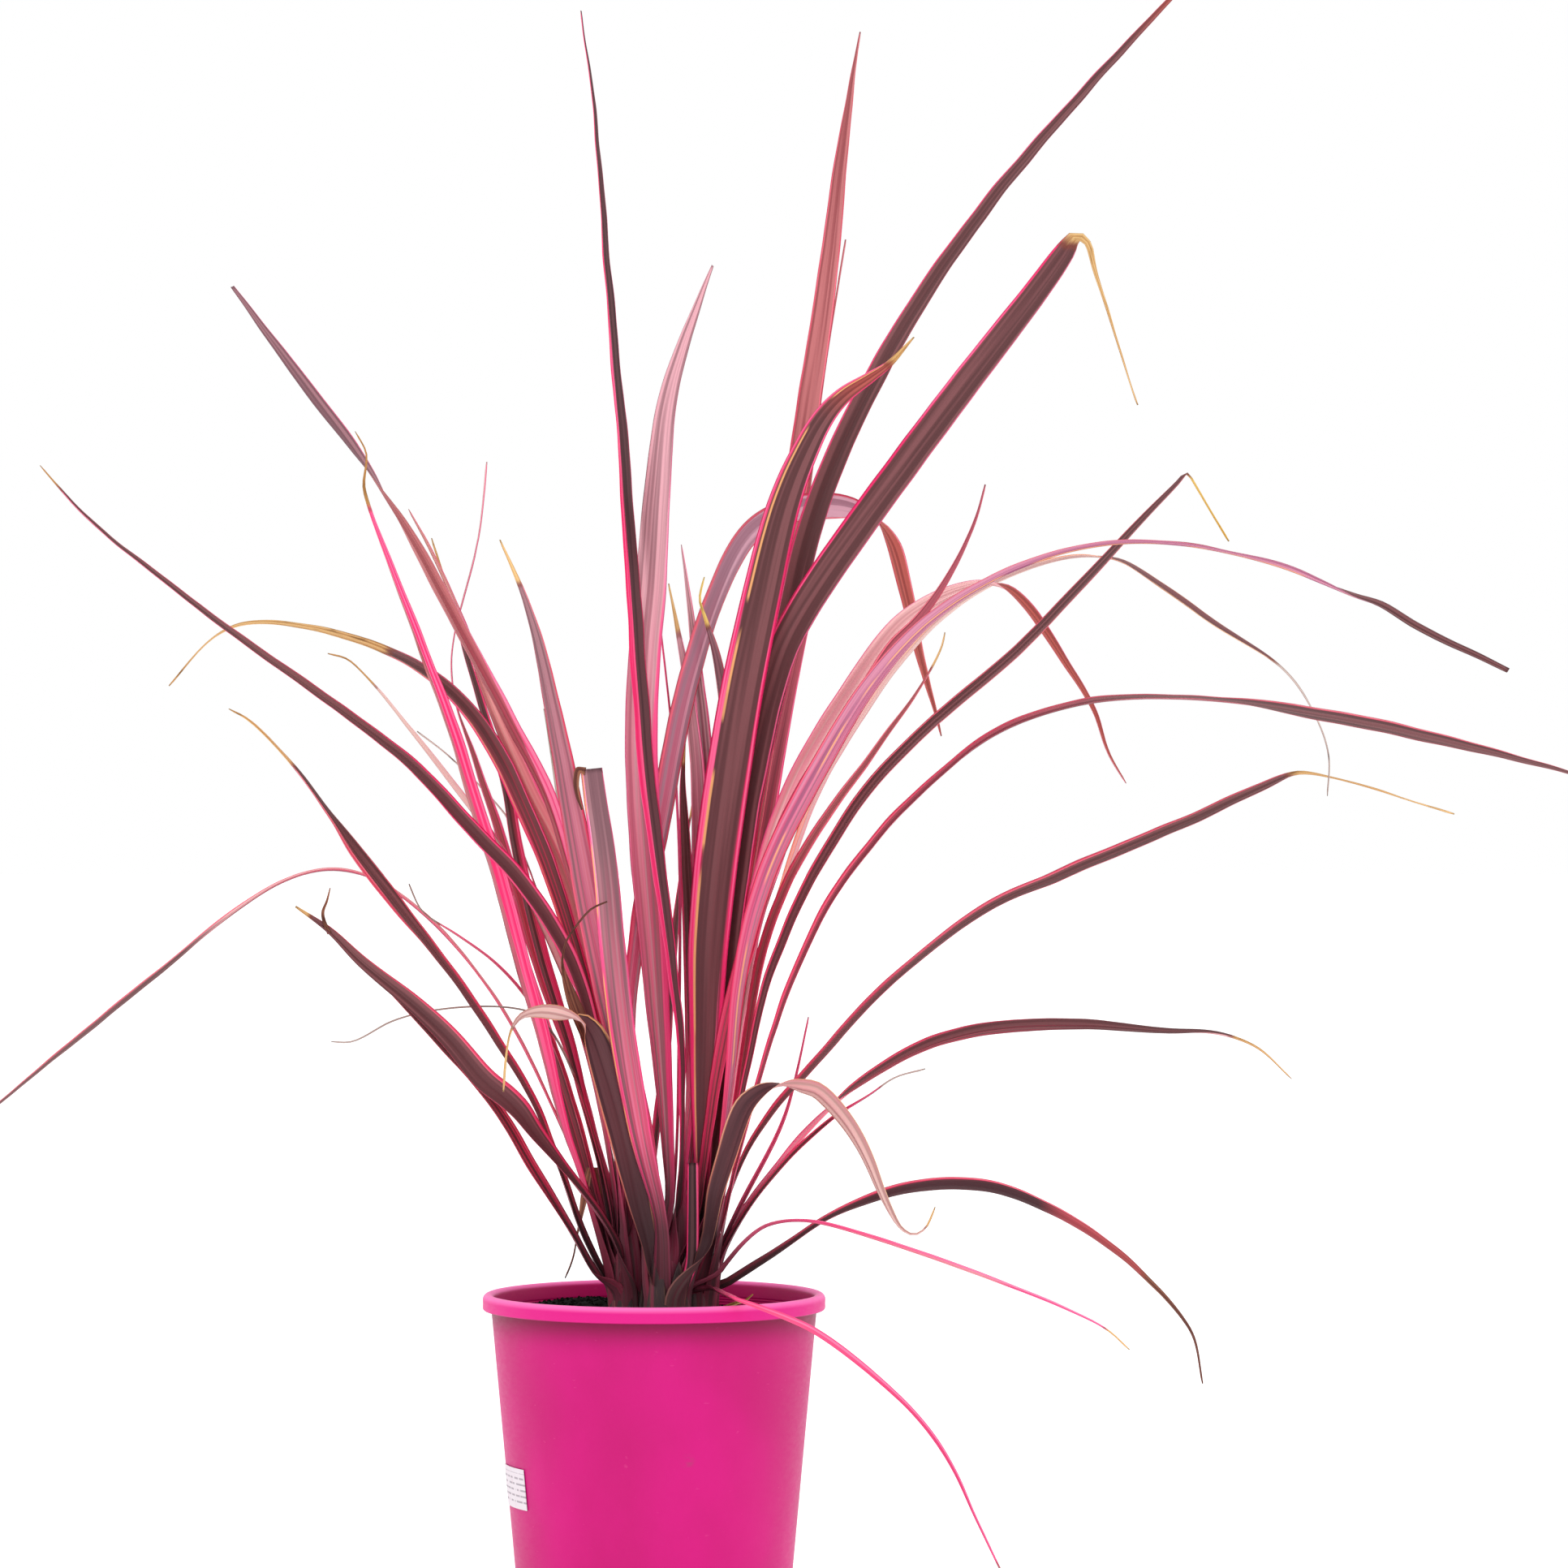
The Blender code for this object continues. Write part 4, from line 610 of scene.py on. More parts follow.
@dataclass
class BladeSpine:
    """The centre line of one leaf's solid, with its sizes at each station.

    Attributes:
        centre: Middle of the section, one row for each station.
        side: Half the width as a vector.
        upper: The way that the upper face looks.
        channel: Depth of the section's fold.
    """

    centre: np.ndarray
    side: np.ndarray
    upper: np.ndarray
    channel: np.ndarray

    @staticmethod
    def rings(node: bpy.types.Object) -> list[np.ndarray]:
        """Walk along a leaf's solid from its foot, ring by ring.

        Args:
            node: The leaf's node in the frame.

        Returns:
            The six corners of each ring, in no fixed order.
        """
        clump_across, clump_reach = 0.008, 0.045
        shape = bmesh.new()
        shape.from_mesh(node.data)
        bmesh.ops.remove_doubles(shape, verts=shape.verts, dist=WELD)
        shape.verts.ensure_lookup_table()
        near = [v for v in shape.verts if math.hypot(v.co.x - clump_across, v.co.y) < clump_reach]
        ring = sorted(near, key=lambda vertex: vertex.co.z)[:6]
        seen = set()
        found = []
        while ring:
            seen.update(vertex.index for vertex in ring)
            found.append(np.array([vertex.co for vertex in ring]))
            after = {other for vertex in ring for edge in vertex.link_edges
                     for other in (edge.other_vert(vertex),) if other.index not in seen}
            ring = sorted(after, key=lambda vertex: vertex.index)
        shape.free()
        return found

    @classmethod
    def read(cls, node: bpy.types.Object) -> "BladeSpine":
        """Read the centre line from a leaf's node.

        Args:
            node: The leaf's node in the frame.

        Returns:
            The centre line.
        """
        rings = [ring for ring in cls.rings(node) if len(ring) == 6]
        along = np.gradient(np.array([ring.mean(axis=0) for ring in rings]), axis=0)
        along[0] = (0.0, 0.0, 1.0)
        return cls(*(np.array(rows) for rows in zip(*map(cls.section, rings, along))))

    @staticmethod
    def section(ring: np.ndarray, along: np.ndarray) -> tuple[np.ndarray, np.ndarray, np.ndarray, float]:
        """Tell a ring's edges from its spine and its upper face from its underside.

        Args:
            ring: The six corners of one ring of the solid.
            along: The way that the blade runs there.

        Returns:
            The middle of the section, half its width, the way that the upper
            face looks and the depth of the fold.
        """
        thickness = 0.0008
        best, pairs = math.inf, None
        for pairing in PAIRINGS:
            gaps = np.array([ring[a] - ring[b] for a, b in pairing])
            size = np.linalg.norm(gaps, axis=1)
            ways = gaps / size[:, None]
            skew = sum(1.0 - abs(ways[a] @ ways[b]) for a, b in itertools.combinations(range(3), 2))
            cost = np.abs(size / thickness - 1.0).sum() + skew
            if cost < best:
                best, pairs = cost, pairing
        middles = np.array([(ring[a] + ring[b]) / 2 for a, b in pairs])
        spread = [sum(np.linalg.norm(one - other) for other in middles) for one in middles]
        centre = int(np.argmin(spread))
        spine = middles[centre]
        first, last = (middles[index] for index in range(3) if index != centre)
        upper = ring[pairs[centre][0]] - ring[pairs[centre][1]]
        upper = upper / np.linalg.norm(upper)
        edge = (first + last) / 2
        if (edge - spine) @ upper < 0:
            upper = -upper
        side = (last - first) / 2
        if np.cross(along, upper) @ side < 0:
            side = -side
        return (edge + spine) / 2, side, upper, float((edge - spine) @ upper)

    def smoothed(self, per_reach: int = 5) -> "BladeSpine":
        """Return a finer line through the same stations.

        Args:
            per_reach: How many places stand for each station.

        Returns:
            The finer centre line.
        """
        rows = np.column_stack((self.centre, self.side, self.upper, self.channel))
        ends = np.vstack((2 * rows[0] - rows[1], rows, 2 * rows[-1] - rows[-2]))
        gaps = np.sqrt(np.linalg.norm(np.diff(ends[:, :3], axis=0), axis=1))
        fine = []
        for start in range(len(rows) - 1):
            first, second, third, fourth = ends[start:start + 4]
            before, here, after = gaps[start:start + 3]
            leave = third - second + here * ((second - first) / before - (third - first) / (before + here))
            reach = third - second + here * ((fourth - third) / after - (fourth - second) / (here + after))
            for step in range(per_reach):
                t = step / per_reach
                fine.append(second + leave * t + (3 * (third - second) - 2 * leave - reach) * t ** 2
                            + (2 * (second - third) + leave + reach) * t ** 3)
        fine = np.array([*fine, rows[-1]])
        return BladeSpine(fine[:, :3], fine[:, 3:6], fine[:, 6:9], fine[:, 9])

    def lengths(self) -> np.ndarray:
        """Return the distance of each place from the foot."""
        steps = np.linalg.norm(np.diff(self.centre, axis=0), axis=1)
        return np.concatenate(([0.0], np.cumsum(steps)))


class BladeTree(MeshTree):
    """The node tree that sweeps a folded section along a leaf's centre line."""

    NAME = "strap_blade"
    INPUTS = {"Rows": "Int", "Columns": "Int", "Thickness": "Float", "Ripple": "Float", "Seed": "Float",
              "Finish": "Material"}
    VECTORS = ("side", "upper", "place", "edges")
    NUMBERS = ("channel", "dryness", "glow", "foot", "line", "gold", "flush", "turned")
    CREASE_SHARE = 0.16
    CREASE_DEPTH = 0.0004
    ROUNDING = 1.45

    def named(self, name: str, kind: str = "FLOAT") -> Term:
        """Read an attribute inside the tree."""
        return self.term("GeometryNodeInputNamedAttribute", {"Name": name}, "Attribute", data_type=kind)

    def store(self, geometry: Term, name: str, value: object, kind: str = "FLOAT",
              domain: str = "POINT") -> Term:
        """Store a value or an output on the geometry under this name."""
        inputs = {"Geometry": geometry, "Name": name, "Value": value}
        return self.term("GeometryNodeStoreNamedAttribute", inputs, data_type=kind, domain=domain)

    def lay_out(self, given: dict[str, Term]) -> Term:
        """Lay out the nodes from the line to the two-sided blade.

        Args:
            given: The tree's inputs.

        Returns:
            The blade.
        """
        curve = self.term("GeometryNodeMeshToCurve", {0: given["Geometry"]})
        sheet = self.term("GeometryNodeMeshGrid", {
            "Vertices X": given["Columns"], "Vertices Y": given["Rows"]})
        x, y, _ = self.parts(self.term("GeometryNodeInputPosition"))
        sheet = self.store(self.store(sheet, "across", x * 2.0), "share", y + 0.5)
        share = self.named("share")
        middle = None
        for names, kind in ((self.VECTORS, "FLOAT_VECTOR"), (self.NUMBERS, "FLOAT")):
            for name in names:
                inputs = {"Curves": curve, "Value": self.named(name, kind), "Factor": share}
                sample = self.add("GeometryNodeSampleCurve", inputs, mode="FACTOR", data_type=kind,
                                  use_all_curves=True).outputs
                sheet = self.store(sheet, name, Term(self, sample["Value"]), kind)
                middle = middle or Term(self, sample["Position"])
        across, channel = self.named("across"), self.named("channel")
        side, upper, place = (self.named(name, "FLOAT_VECTOR") for name in ("side", "upper", "place"))
        reach = abs(across)
        fold = (reach ** self.ROUNDING - 0.45) * channel
        crease = reach.rise(self.CREASE_SHARE, 0.0) * -self.CREASE_DEPTH
        stretched = self.vector("MULTIPLY", place, (0.05, 0.02, 0.0))
        wave = self.term("ShaderNodeTexNoise", {"Vector": stretched, "W": given["Seed"], "Scale": 1.0,
                                                "Detail": 1.0}, noise_dimensions="4D")
        swing = (wave - 0.5) * given["Ripple"] * (reach * 0.8 + 0.2)
        offset = self.vector("ADD", self.vector("SCALE", side, across),
                             self.vector("SCALE", upper, fold + (crease + swing)))
        sheet = self.term("GeometryNodeSetPosition", {
            "Geometry": sheet, "Position": self.vector("ADD", middle, offset)})
        inner = self.sum("GREATER_THAN", share, 0.0001) * self.sum("LESS_THAN", share, 0.9999)
        body = self.sum("SQRT", 1.0 - across * across) * inner * given["Thickness"]
        faces = []
        for way, name in ((0.5, 0.0), (-0.5, 1.0)):
            moved = self.term("GeometryNodeSetPosition", {
                "Geometry": sheet, "Offset": self.vector("SCALE", upper, body * way)})
            face = self.store(moved, "under", name, domain="FACE")
            faces.append(self.term("GeometryNodeFlipFaces", {0: face}) if way < 0 else face)
        join = self.add("GeometryNodeJoinGeometry")
        for face in reversed(faces):
            self.fill(join, {0: face})
        joined = Term(self, join.outputs[0])
        weld = self.term("GeometryNodeMergeByDistance", {"Geometry": joined, "Distance": 0.000001})
        return self.term("GeometryNodeSetShadeSmooth", {"Geometry": weld})


@dataclass
class StrapLeaf:
    """One strap leaf of the clump.

    Attributes:
        node: Name of the solid that it stands for.
        look: Its colours and its withering.
        seed: What sets its ripples and veins apart from the other leaves'.
        thickness: Thickness of the blade in metres.
        row_gap: Distance from one row of the blade to the next.
        columns: Places across the blade.
        ripple: How far the surface of a broad blade sways.
        clasp: Length of the clasping base.
        cup: How much deeper the fold is there.
        foot: How far up the dark foot, partly painted shade, reaches.
        foot_fade: Length over which the foot fades.
        glow: How far up the pink glow reaches at most.
        full: Half the width of a blade that sways fully.
        rows: Fewest and most rows of a blade.
    """

    node: str
    look: Look
    seed: int
    thickness: float = 0.0006
    row_gap: float = 0.004
    columns: int = 15
    ripple: float = 0.004
    clasp: float = 0.11
    cup: float = 0.0022
    foot: float = 0.112
    foot_fade: float = 0.060
    glow: float = 0.40
    full: float = 0.010
    rows: tuple[int, int] = (40, 200)

    @staticmethod
    def along(given: Spread, share: np.ndarray) -> np.ndarray:
        """Spread one number, or several at even steps, over the shares of a length."""
        steps = np.atleast_1d(given)
        return np.interp(share, np.linspace(0.0, 1.0, len(steps)), steps)

    def line(self) -> BladeSpine:
        """Return the centre line, with the clasping base that the solid leaves out.

        Returns:
            The fine centre line.
        """
        spine = BladeSpine.read(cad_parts[self.node]).smoothed()
        length = spine.lengths()
        half = np.linalg.norm(spine.side, axis=1)
        base = np.clip(1.0 - length / self.clasp, 0.0, 1.0)
        broad = self.along(self.look.broad, length / length[-1])
        wish = np.maximum(half * broad, self.look.sheath / 2 * np.sqrt(base))
        spine.side *= (wish / half)[:, None]
        spine.channel += base ** 1.5 * self.cup
        spine.upper /= np.linalg.norm(spine.upper, axis=1)[:, None]
        return spine

    def make(self, tree: BladeTree, finish: bpy.types.Material) -> bpy.types.Object:
        """Build the leaf, hang it under the root body and hide the solid that it stands for.

        Args:
            tree: The sweeping node tree.
            finish: The leaf's skin.

        Returns:
            The leaf as a plain mesh object.
        """
        leaf = self.sweep(tree, finish)
        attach(leaf, "root")
        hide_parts(self.node)
        return leaf

    def sweep(self, tree: BladeTree, finish: bpy.types.Material) -> bpy.types.Object:
        """Sweep the blade.

        Args:
            tree: The sweeping node tree.
            finish: The leaf's skin.

        Returns:
            The blade as a plain mesh object.
        """
        look, spine = self.look, self.line()
        length = spine.lengths()
        share = length / length[-1]
        count = len(share)
        facing = spine.upper[int(count * 0.35), 1] < 0
        left, right = (look.left, look.right) if facing else (look.right, look.left)
        glow = np.clip(1.15 - length / min(self.glow, 0.75 * length[-1]), 0.0, 1.0) * look.hot
        vectors = {
            "side": spine.side, "upper": spine.upper,
            "place": np.column_stack((np.zeros(count), length / MM, np.full(count, self.seed * 7.3))),
            "edges": np.column_stack((self.along(left, share), self.along(right, share), np.zeros(count))),
        }
        numbers = {
            "channel": spine.channel, "glow": glow,
            "dryness": np.clip((share - look.dry_from) / 0.03 + 0.5, 0.0, 1.0),
            # The dark foot is partly painted shade deep in the clump
            "foot": np.clip((self.foot - length) / self.foot_fade, 0.0, 1.0) * (look.hot > 0),
            "line": np.full(count, look.line if facing else -look.line),
            "gold": np.full(count, look.gold), "flush": np.full(count, look.flush),
            "turned": np.clip((share - look.turn_at) / 0.05 + 0.5, 0.0, 1.0),
        }
        thing = put_line(self.node + "_line", [tuple(point) for point in spine.centre])
        for kind, field, group in (("FLOAT_VECTOR", "vector", vectors), ("FLOAT", "value", numbers)):
            for name, values in group.items():
                layer = thing.data.attributes.new(name, kind, "POINT")
                layer.data.foreach_set(field, values.astype(np.float32).ravel())
        rows = int(np.clip(length[-1] / self.row_gap, *self.rows))
        broad = min(1.0, float(np.linalg.norm(spine.side, axis=1).max()) / self.full)
        leaf = tree.apply(thing, "blade" + self.node.removeprefix("leaf"), Rows=rows, Columns=self.columns,
                          Thickness=self.thickness, Ripple=self.ripple * broad, Seed=float(self.seed),
                          Finish=finish)
        self.spread(leaf.data)
        return leaf

    def spread(self, mesh: bpy.types.Mesh) -> None:
        """Turn the stored place into millimetres across and along the blade.

        Args:
            mesh: The leaf's mesh.
        """
        count = len(mesh.vertices)
        place, side = np.zeros((2, count * 3), np.float32)
        across = np.zeros(count, np.float32)
        mesh.attributes["place"].data.foreach_get("vector", place)
        mesh.attributes["side"].data.foreach_get("vector", side)
        mesh.attributes["across"].data.foreach_get("value", across)
        place[::3] = across * np.linalg.norm(side.reshape(-1, 3), axis=1) / MM
        mesh.attributes["place"].data.foreach_set("vector", place)
        for name in ("side", "upper", "channel", "share"):
            mesh.attributes.remove(mesh.attributes[name])


@dataclass
class LooseEnd(StrapLeaf):
    """A withered end that hangs off a leaf or stands in the mix.

    Attributes:
        route: Its centre line in millimetres across, back and up.
        half: Half its width in metres at its start.
    """

    route: tuple[Triple, ...] = ()
    half: float = 0.002

    def line(self) -> BladeSpine:
        """Return the centre line, with the upper face towards the viewer.

        Returns:
            The fine centre line.
        """
        centre = np.array(self.route) * MM
        along = np.gradient(centre, axis=0)
        along /= np.linalg.norm(along, axis=1)[:, None]
        upper = np.array((0.0, -1.0, 0.0)) - along * -along[:, 1:2]
        upper /= np.linalg.norm(upper, axis=1)[:, None]
        width = self.half * np.linspace(1.0, 0.1, len(centre)) ** 0.6
        side = np.cross(along, upper) * width[:, None]
        return BladeSpine(centre, side, upper, np.full(len(centre), 0.0004)).smoothed()

    def make(self, tree: BladeTree, finish: bpy.types.Material) -> bpy.types.Object:
        """Build the loose end, which has no solid of its own.

        Args:
            tree: The sweeping node tree.
            finish: Its skin.

        Returns:
            The loose end as a plain mesh object.
        """
        end = self.sweep(tree, finish)
        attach(end, "root")
        return end


BROWN_END = Look(dry=Dry.BROWN, dry_from=-1.0, hot=0.0)
TAN_END = Look(dry=Dry.TAN, dry_from=-1.0, hot=0.0)
LOOSE_ENDS = (
    LooseEnd("leaf_hanging_end", BROWN_END, 71, half=0.0026, route=(
        (-40, -71, 526), (-44, -70.5, 527), (-45.5, -70, 521), (-44.8, -70, 512), (-42, -70, 503))),
    LooseEnd("leaf_curled_tip", BROWN_END, 72, half=0.0014, route=(
        (-198, -26, 427), (-201, -27, 434), (-202, -27, 440), (-199.5, -27, 447), (-197.5, -27, 455))),
    LooseEnd("leaf_dry_sliver", TAN_END, 73, half=0.0016, route=(
        (34, -5, 188), (42, -12, 196), (50, -18, 200), (56, -20, 202), (61, -21, 206))),
)


@dataclass
class Clump:
    """All the strap leaves.

    Attributes:
        looks: The look of each leaf by its node's name without the first word.
        ends: The loose ends.
    """

    looks: dict[str, Look]
    ends: tuple[LooseEnd, ...]

    def make(self) -> list[bpy.types.Object]:
        """Build every leaf.

        Returns:
            The leaves.
        """
        tree = BladeTree()
        skins = {}
        leaves = []
        blades = [StrapLeaf(f"leaf_{name}", self.looks[name], seed)
                  for seed, name in enumerate(self.looks, start=1)]
        for blade in (*blades, *self.ends):
            look = blade.look
            key = (look.upper, look.under, look.edge, look.dry)
            if key not in skins:
                skins[key] = StrapLeafFinish(*key).make()
            leaves.append(blade.make(tree, skins[key]))
        return leaves


@dataclass(frozen=True)
class PotFinish:
    """Moulded magenta plastic with faint scuffs and dust.

    Attributes:
        deep: Its colour where the mould left it darker.
        shade: Painted shadow right below the rim.
        crest: Painted highlight along the rim's top, where the light catches it.
        skirt: Radius that parts the inside from the outside at the pot's foot.
        taper: How much that radius grows with the height.
        rim_foot: Height of the rim's lower edge.
        marks: Place, radius, colour and strength of each worn mark.
    """

    body: Triple = srgb(197, 4, 117)
    deep: Triple = srgb(183, 3, 104)
    shade: Triple = srgb(116, 0, 54)
    # lip: the rim band's colour, made lighter than the body as painted light from above
    lip: Triple = srgb(210, 20, 126)
    crest: Triple = srgb(255, 124, 196)
    inner: Triple = srgb(196, 14, 104)
    dusty: Triple = srgb(236, 110, 168)
    skirt: float = 0.0810
    taper: float = 0.0923
    rim_foot: float = 0.1948
    marks: tuple[tuple[Triple, float, Triple, float], ...] = (
        ((0.022, -0.089, 0.1115), 0.006, srgb(150, 60, 96), 0.45),
        ((0.037, -0.078, 0.039), 0.005, srgb(120, 20, 70), 0.5))

    def make(self) -> bpy.types.Material:
        """Build the material.

        Returns:
            The finished material.
        """
        skin = Surface("pot_plastic")
        place = skin.place()
        cloud = skin.noise(place, (14.0, 14.0, 9.0), 3.0)
        grain = skin.noise(place, (900.0, 900.0, 900.0))
        scuff = skin.noise(place, (160.0, 160.0, 420.0), 4.0)
        across, back, height = skin.parts(place)
        reach = skin.sum("SQRT", across ** 2.0 + back ** 2.0)
        outer = (reach - height * self.taper).rise(self.skirt, self.skirt + 0.0008)
        colour = skin.mix(cloud.rise(0.3, 0.75), self.deep, self.body)
        # Painted shadow on the outer wall, darkest right below the rim
        painted_rim_shadow = height.rise(0.162, 0.1955) ** 3.0
        colour = skin.mix(painted_rim_shadow * outer * 0.9, colour, self.shade)
        # Painted light: the rim band is made lighter than the wall, where more light falls from above
        colour = skin.mix(height.rise(self.rim_foot, self.rim_foot + 0.0012), colour, self.lip)
        # Painted highlight along the rim's top
        colour = skin.mix(height.rise(0.2008, 0.2047) * 0.8, colour, self.crest)
        colour = skin.mix((1.0 - outer) * height.rise(0.2036, 0.2020), colour, self.inner)
        for spot, size, tint, share in self.marks:
            away = skin.term("ShaderNodeVectorMath", {0: place, 1: spot}, "Value", operation="DISTANCE")
            colour = skin.mix(away.rise(size, size * 0.2) * share * scuff.rise(0.4, 0.6), colour, tint)
        colour = skin.mix(scuff.rise(0.68, 0.78) * 0.18, colour, self.dusty)
        return skin.painted(colour, scuff * 0.22 + 0.36, (grain, 0.00008, 0.6), 0.2)


@dataclass
class NurseryPot:
    """The tapered pot with its rolled rim, inner rings and drainage holes.

    Attributes:
        height: From the underside to the top of the rim.
        rim_radius: Outer radius of the rim.
        rim_depth: Height of the rim's outer band.
        rim_inner: Inner radius of the rim.
        rim_fillet: Rounding of the band's lower edge.
        wall: Thickness of the wall.
        floor: Thickness of the floor.
        heel: Rounding of the foot.
        top_radius: The wall's outer radius below the rim.
        bottom_radius: The wall's outer radius at the foot.
        bowl: Height up to which the inside is plain.
        ring_start: Height of the lowest inner ring.
        ring_pitch: Height from one inner ring to the next.
        ring_depth: How far a ring stands in.
        steps: Facets round the pot.
        drains: Number of drainage holes.
        drain_radius: Radius of a drainage hole.
        drain_circle: Radius of the circle on which they lie.
        drain_turn: Turn of the first one, as a share of their spacing.
    """

    height: float = 0.205
    rim_radius: float = 0.1055
    rim_depth: float = 0.010
    rim_inner: float = 0.0986
    rim_fillet: float = 0.0014
    wall: float = 0.0016
    floor: float = 0.0024
    heel: float = 0.003
    top_radius: float = 0.1002
    bottom_radius: float = 0.0822
    bowl: float = 0.17
    ring_start: float = 0.186
    ring_pitch: float = 0.0017
    ring_depth: float = 0.0004
    steps: int = 144
    drains: int = 6
    drain_radius: float = 0.006
    drain_circle: float = 0.052
    drain_turn: float = 0.41

    def radius(self, height: float) -> float:
        """Return the wall's outer radius at a height."""
        spread = self.top_radius - self.bottom_radius
        return self.bottom_radius + spread * height / (self.height - self.rim_depth)

    @staticmethod
    def arc(radius: float, height: float, bend: float, degrees: range) -> list[tuple[float, float]]:
        """Return the points of a rounded corner about the middle of its bend."""
        turns = [math.radians(angle) for angle in degrees]
        return [(radius + bend * math.cos(a), height + bend * math.sin(a)) for a in turns]

    def profile(self) -> list[tuple[float, float]]:
        """Return the turned profile, up the inside and down the outside.

        Returns:
            Pairs of radius and height in metres.
        """
        lip = (self.rim_radius - self.rim_inner) / 2
        under = self.height - self.rim_depth
        points = [(0.0, self.floor)]
        points += [(self.radius(height) - self.wall, height) for height in (self.floor, self.bowl)]
        for step in range(int((under - self.ring_start) / self.ring_pitch) + 1):
            low = self.ring_start + step * self.ring_pitch
            inner = self.radius(low) - self.wall
            points += [(inner, low), (inner - self.ring_depth, low + self.ring_pitch * 0.3),
                       (inner - self.ring_depth, low + self.ring_pitch * 0.7)]
        points += self.arc(self.rim_radius - lip, self.height - lip, lip, range(180, -1, -15))
        points += [(self.rim_radius - 0.0001, self.height - lip - 0.003)]
        points += self.arc(self.rim_radius - self.rim_fillet, under + self.rim_fillet, self.rim_fillet,
                           range(0, -91, -30))
        outer = self.radius(under)
        points += [(outer + 0.0012, under), (outer + 0.0003, under - 0.0004),
                   (outer - 0.0001, under - 0.0014)]
        points += [(self.radius(height), float(height)) for height in np.linspace(under - 0.01, 0.02, 8)]
        points += self.arc(self.bottom_radius - self.heel, self.heel, self.heel, range(5, -91, -19))
        points += [(self.bottom_radius - self.heel - 0.002, 0.0), (0.0, 0.0)]
        return points

    def make(self, finish: bpy.types.Material) -> bpy.types.Object:
        """Build the pot.

        Args:
            finish: The pot's plastic.

        Returns:
            The pot.
        """
        pot = turn_profile("nursery_pot", self.profile(), self.steps)
        cutters = []
        for index in range(self.drains):
            angle = math.tau * (index + self.drain_turn) / self.drains
            shape = bmesh.new()
            bmesh.ops.create_cone(shape, cap_ends=True, segments=32, radius1=self.drain_radius,
                                  radius2=self.drain_radius, depth=0.02)
            centre = (math.cos(angle) * self.drain_circle, math.sin(angle) * self.drain_circle, 0.001)
            bmesh.ops.translate(shape, verts=shape.verts, vec=centre)
            cutters.append(put_shape("drain", shape))
            cut = pot.modifiers.new("Drain", "BOOLEAN")
            cut.operation = "DIFFERENCE"
            cut.object = cutters[-1]
        mesh = settle(pot)
        for cutter in cutters:
            bpy.data.objects.remove(cutter)
        mesh.shade_smooth()
        mesh.set_sharp_from_angle(angle=math.radians(40))
        mesh.materials.clear()
        mesh.materials.append(finish)
        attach(pot, "root")
        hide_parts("pot")
        return pot


@dataclass(frozen=True)
class EarthFinish:
    """Damp, nearly black potting mix: its peat, its crumbs and its dry specks."""

    dark: Triple = srgb(8, 6, 6)
    light: Triple = srgb(24, 19, 18)
    dry: Triple = srgb(80, 66, 62)

    def make(self) -> bpy.types.Material:
        """Build the material.

        Returns:
            The finished material.
        """
        skin = Surface("potting_mix")
        place = skin.place()
        clods = skin.noise(place, (220.0, 220.0, 220.0), 5.0)
        dust = skin.noise(place, (900.0, 900.0, 900.0), 3.0)
        colour = skin.mix(clods.rise(0.45, 0.7), self.dark, self.light)
        colour = skin.mix(dust.rise(0.62, 0.75) * 0.25, colour, self.dry)
        return skin.painted(colour, 0.92, (clods, 0.0016, 0.9), 0.05)


class CrumbTree(MeshTree):
    """The node tree that scatters bark crumbs over the potting mix."""

    NAME = "mix_crumbs"
    INPUTS = {"Density": "Float", "Smallest": "Float", "Largest": "Float", "Seed": "Int",
              "Finish": "Material"}

    def lay_out(self, given: dict[str, Term]) -> Term:
        """Lay out the nodes from the ground to the crumbs.

        Args:
            given: The tree's inputs.

        Returns:
            The crumbs.
        """
        seed, sizes = given["Seed"], (given["Smallest"], given["Largest"])
        points = self.term("GeometryNodeDistributePointsOnFaces", {
            "Mesh": given["Geometry"], "Density": given["Density"], "Seed": seed})
        crumb = self.term("GeometryNodeMeshIcoSphere", {"Radius": 1.0, "Subdivisions": 1})
        spin, size = (self.term("FunctionNodeRandomValue", {"Min": low, "Max": high, "Seed": seed},
                                data_type="FLOAT_VECTOR")
                      for low, high in (((0.0,) * 3, (math.tau,) * 3), sizes))
        return self.term("GeometryNodeInstanceOnPoints", {
            "Points": points, "Instance": crumb, "Rotation": spin, "Scale": size})


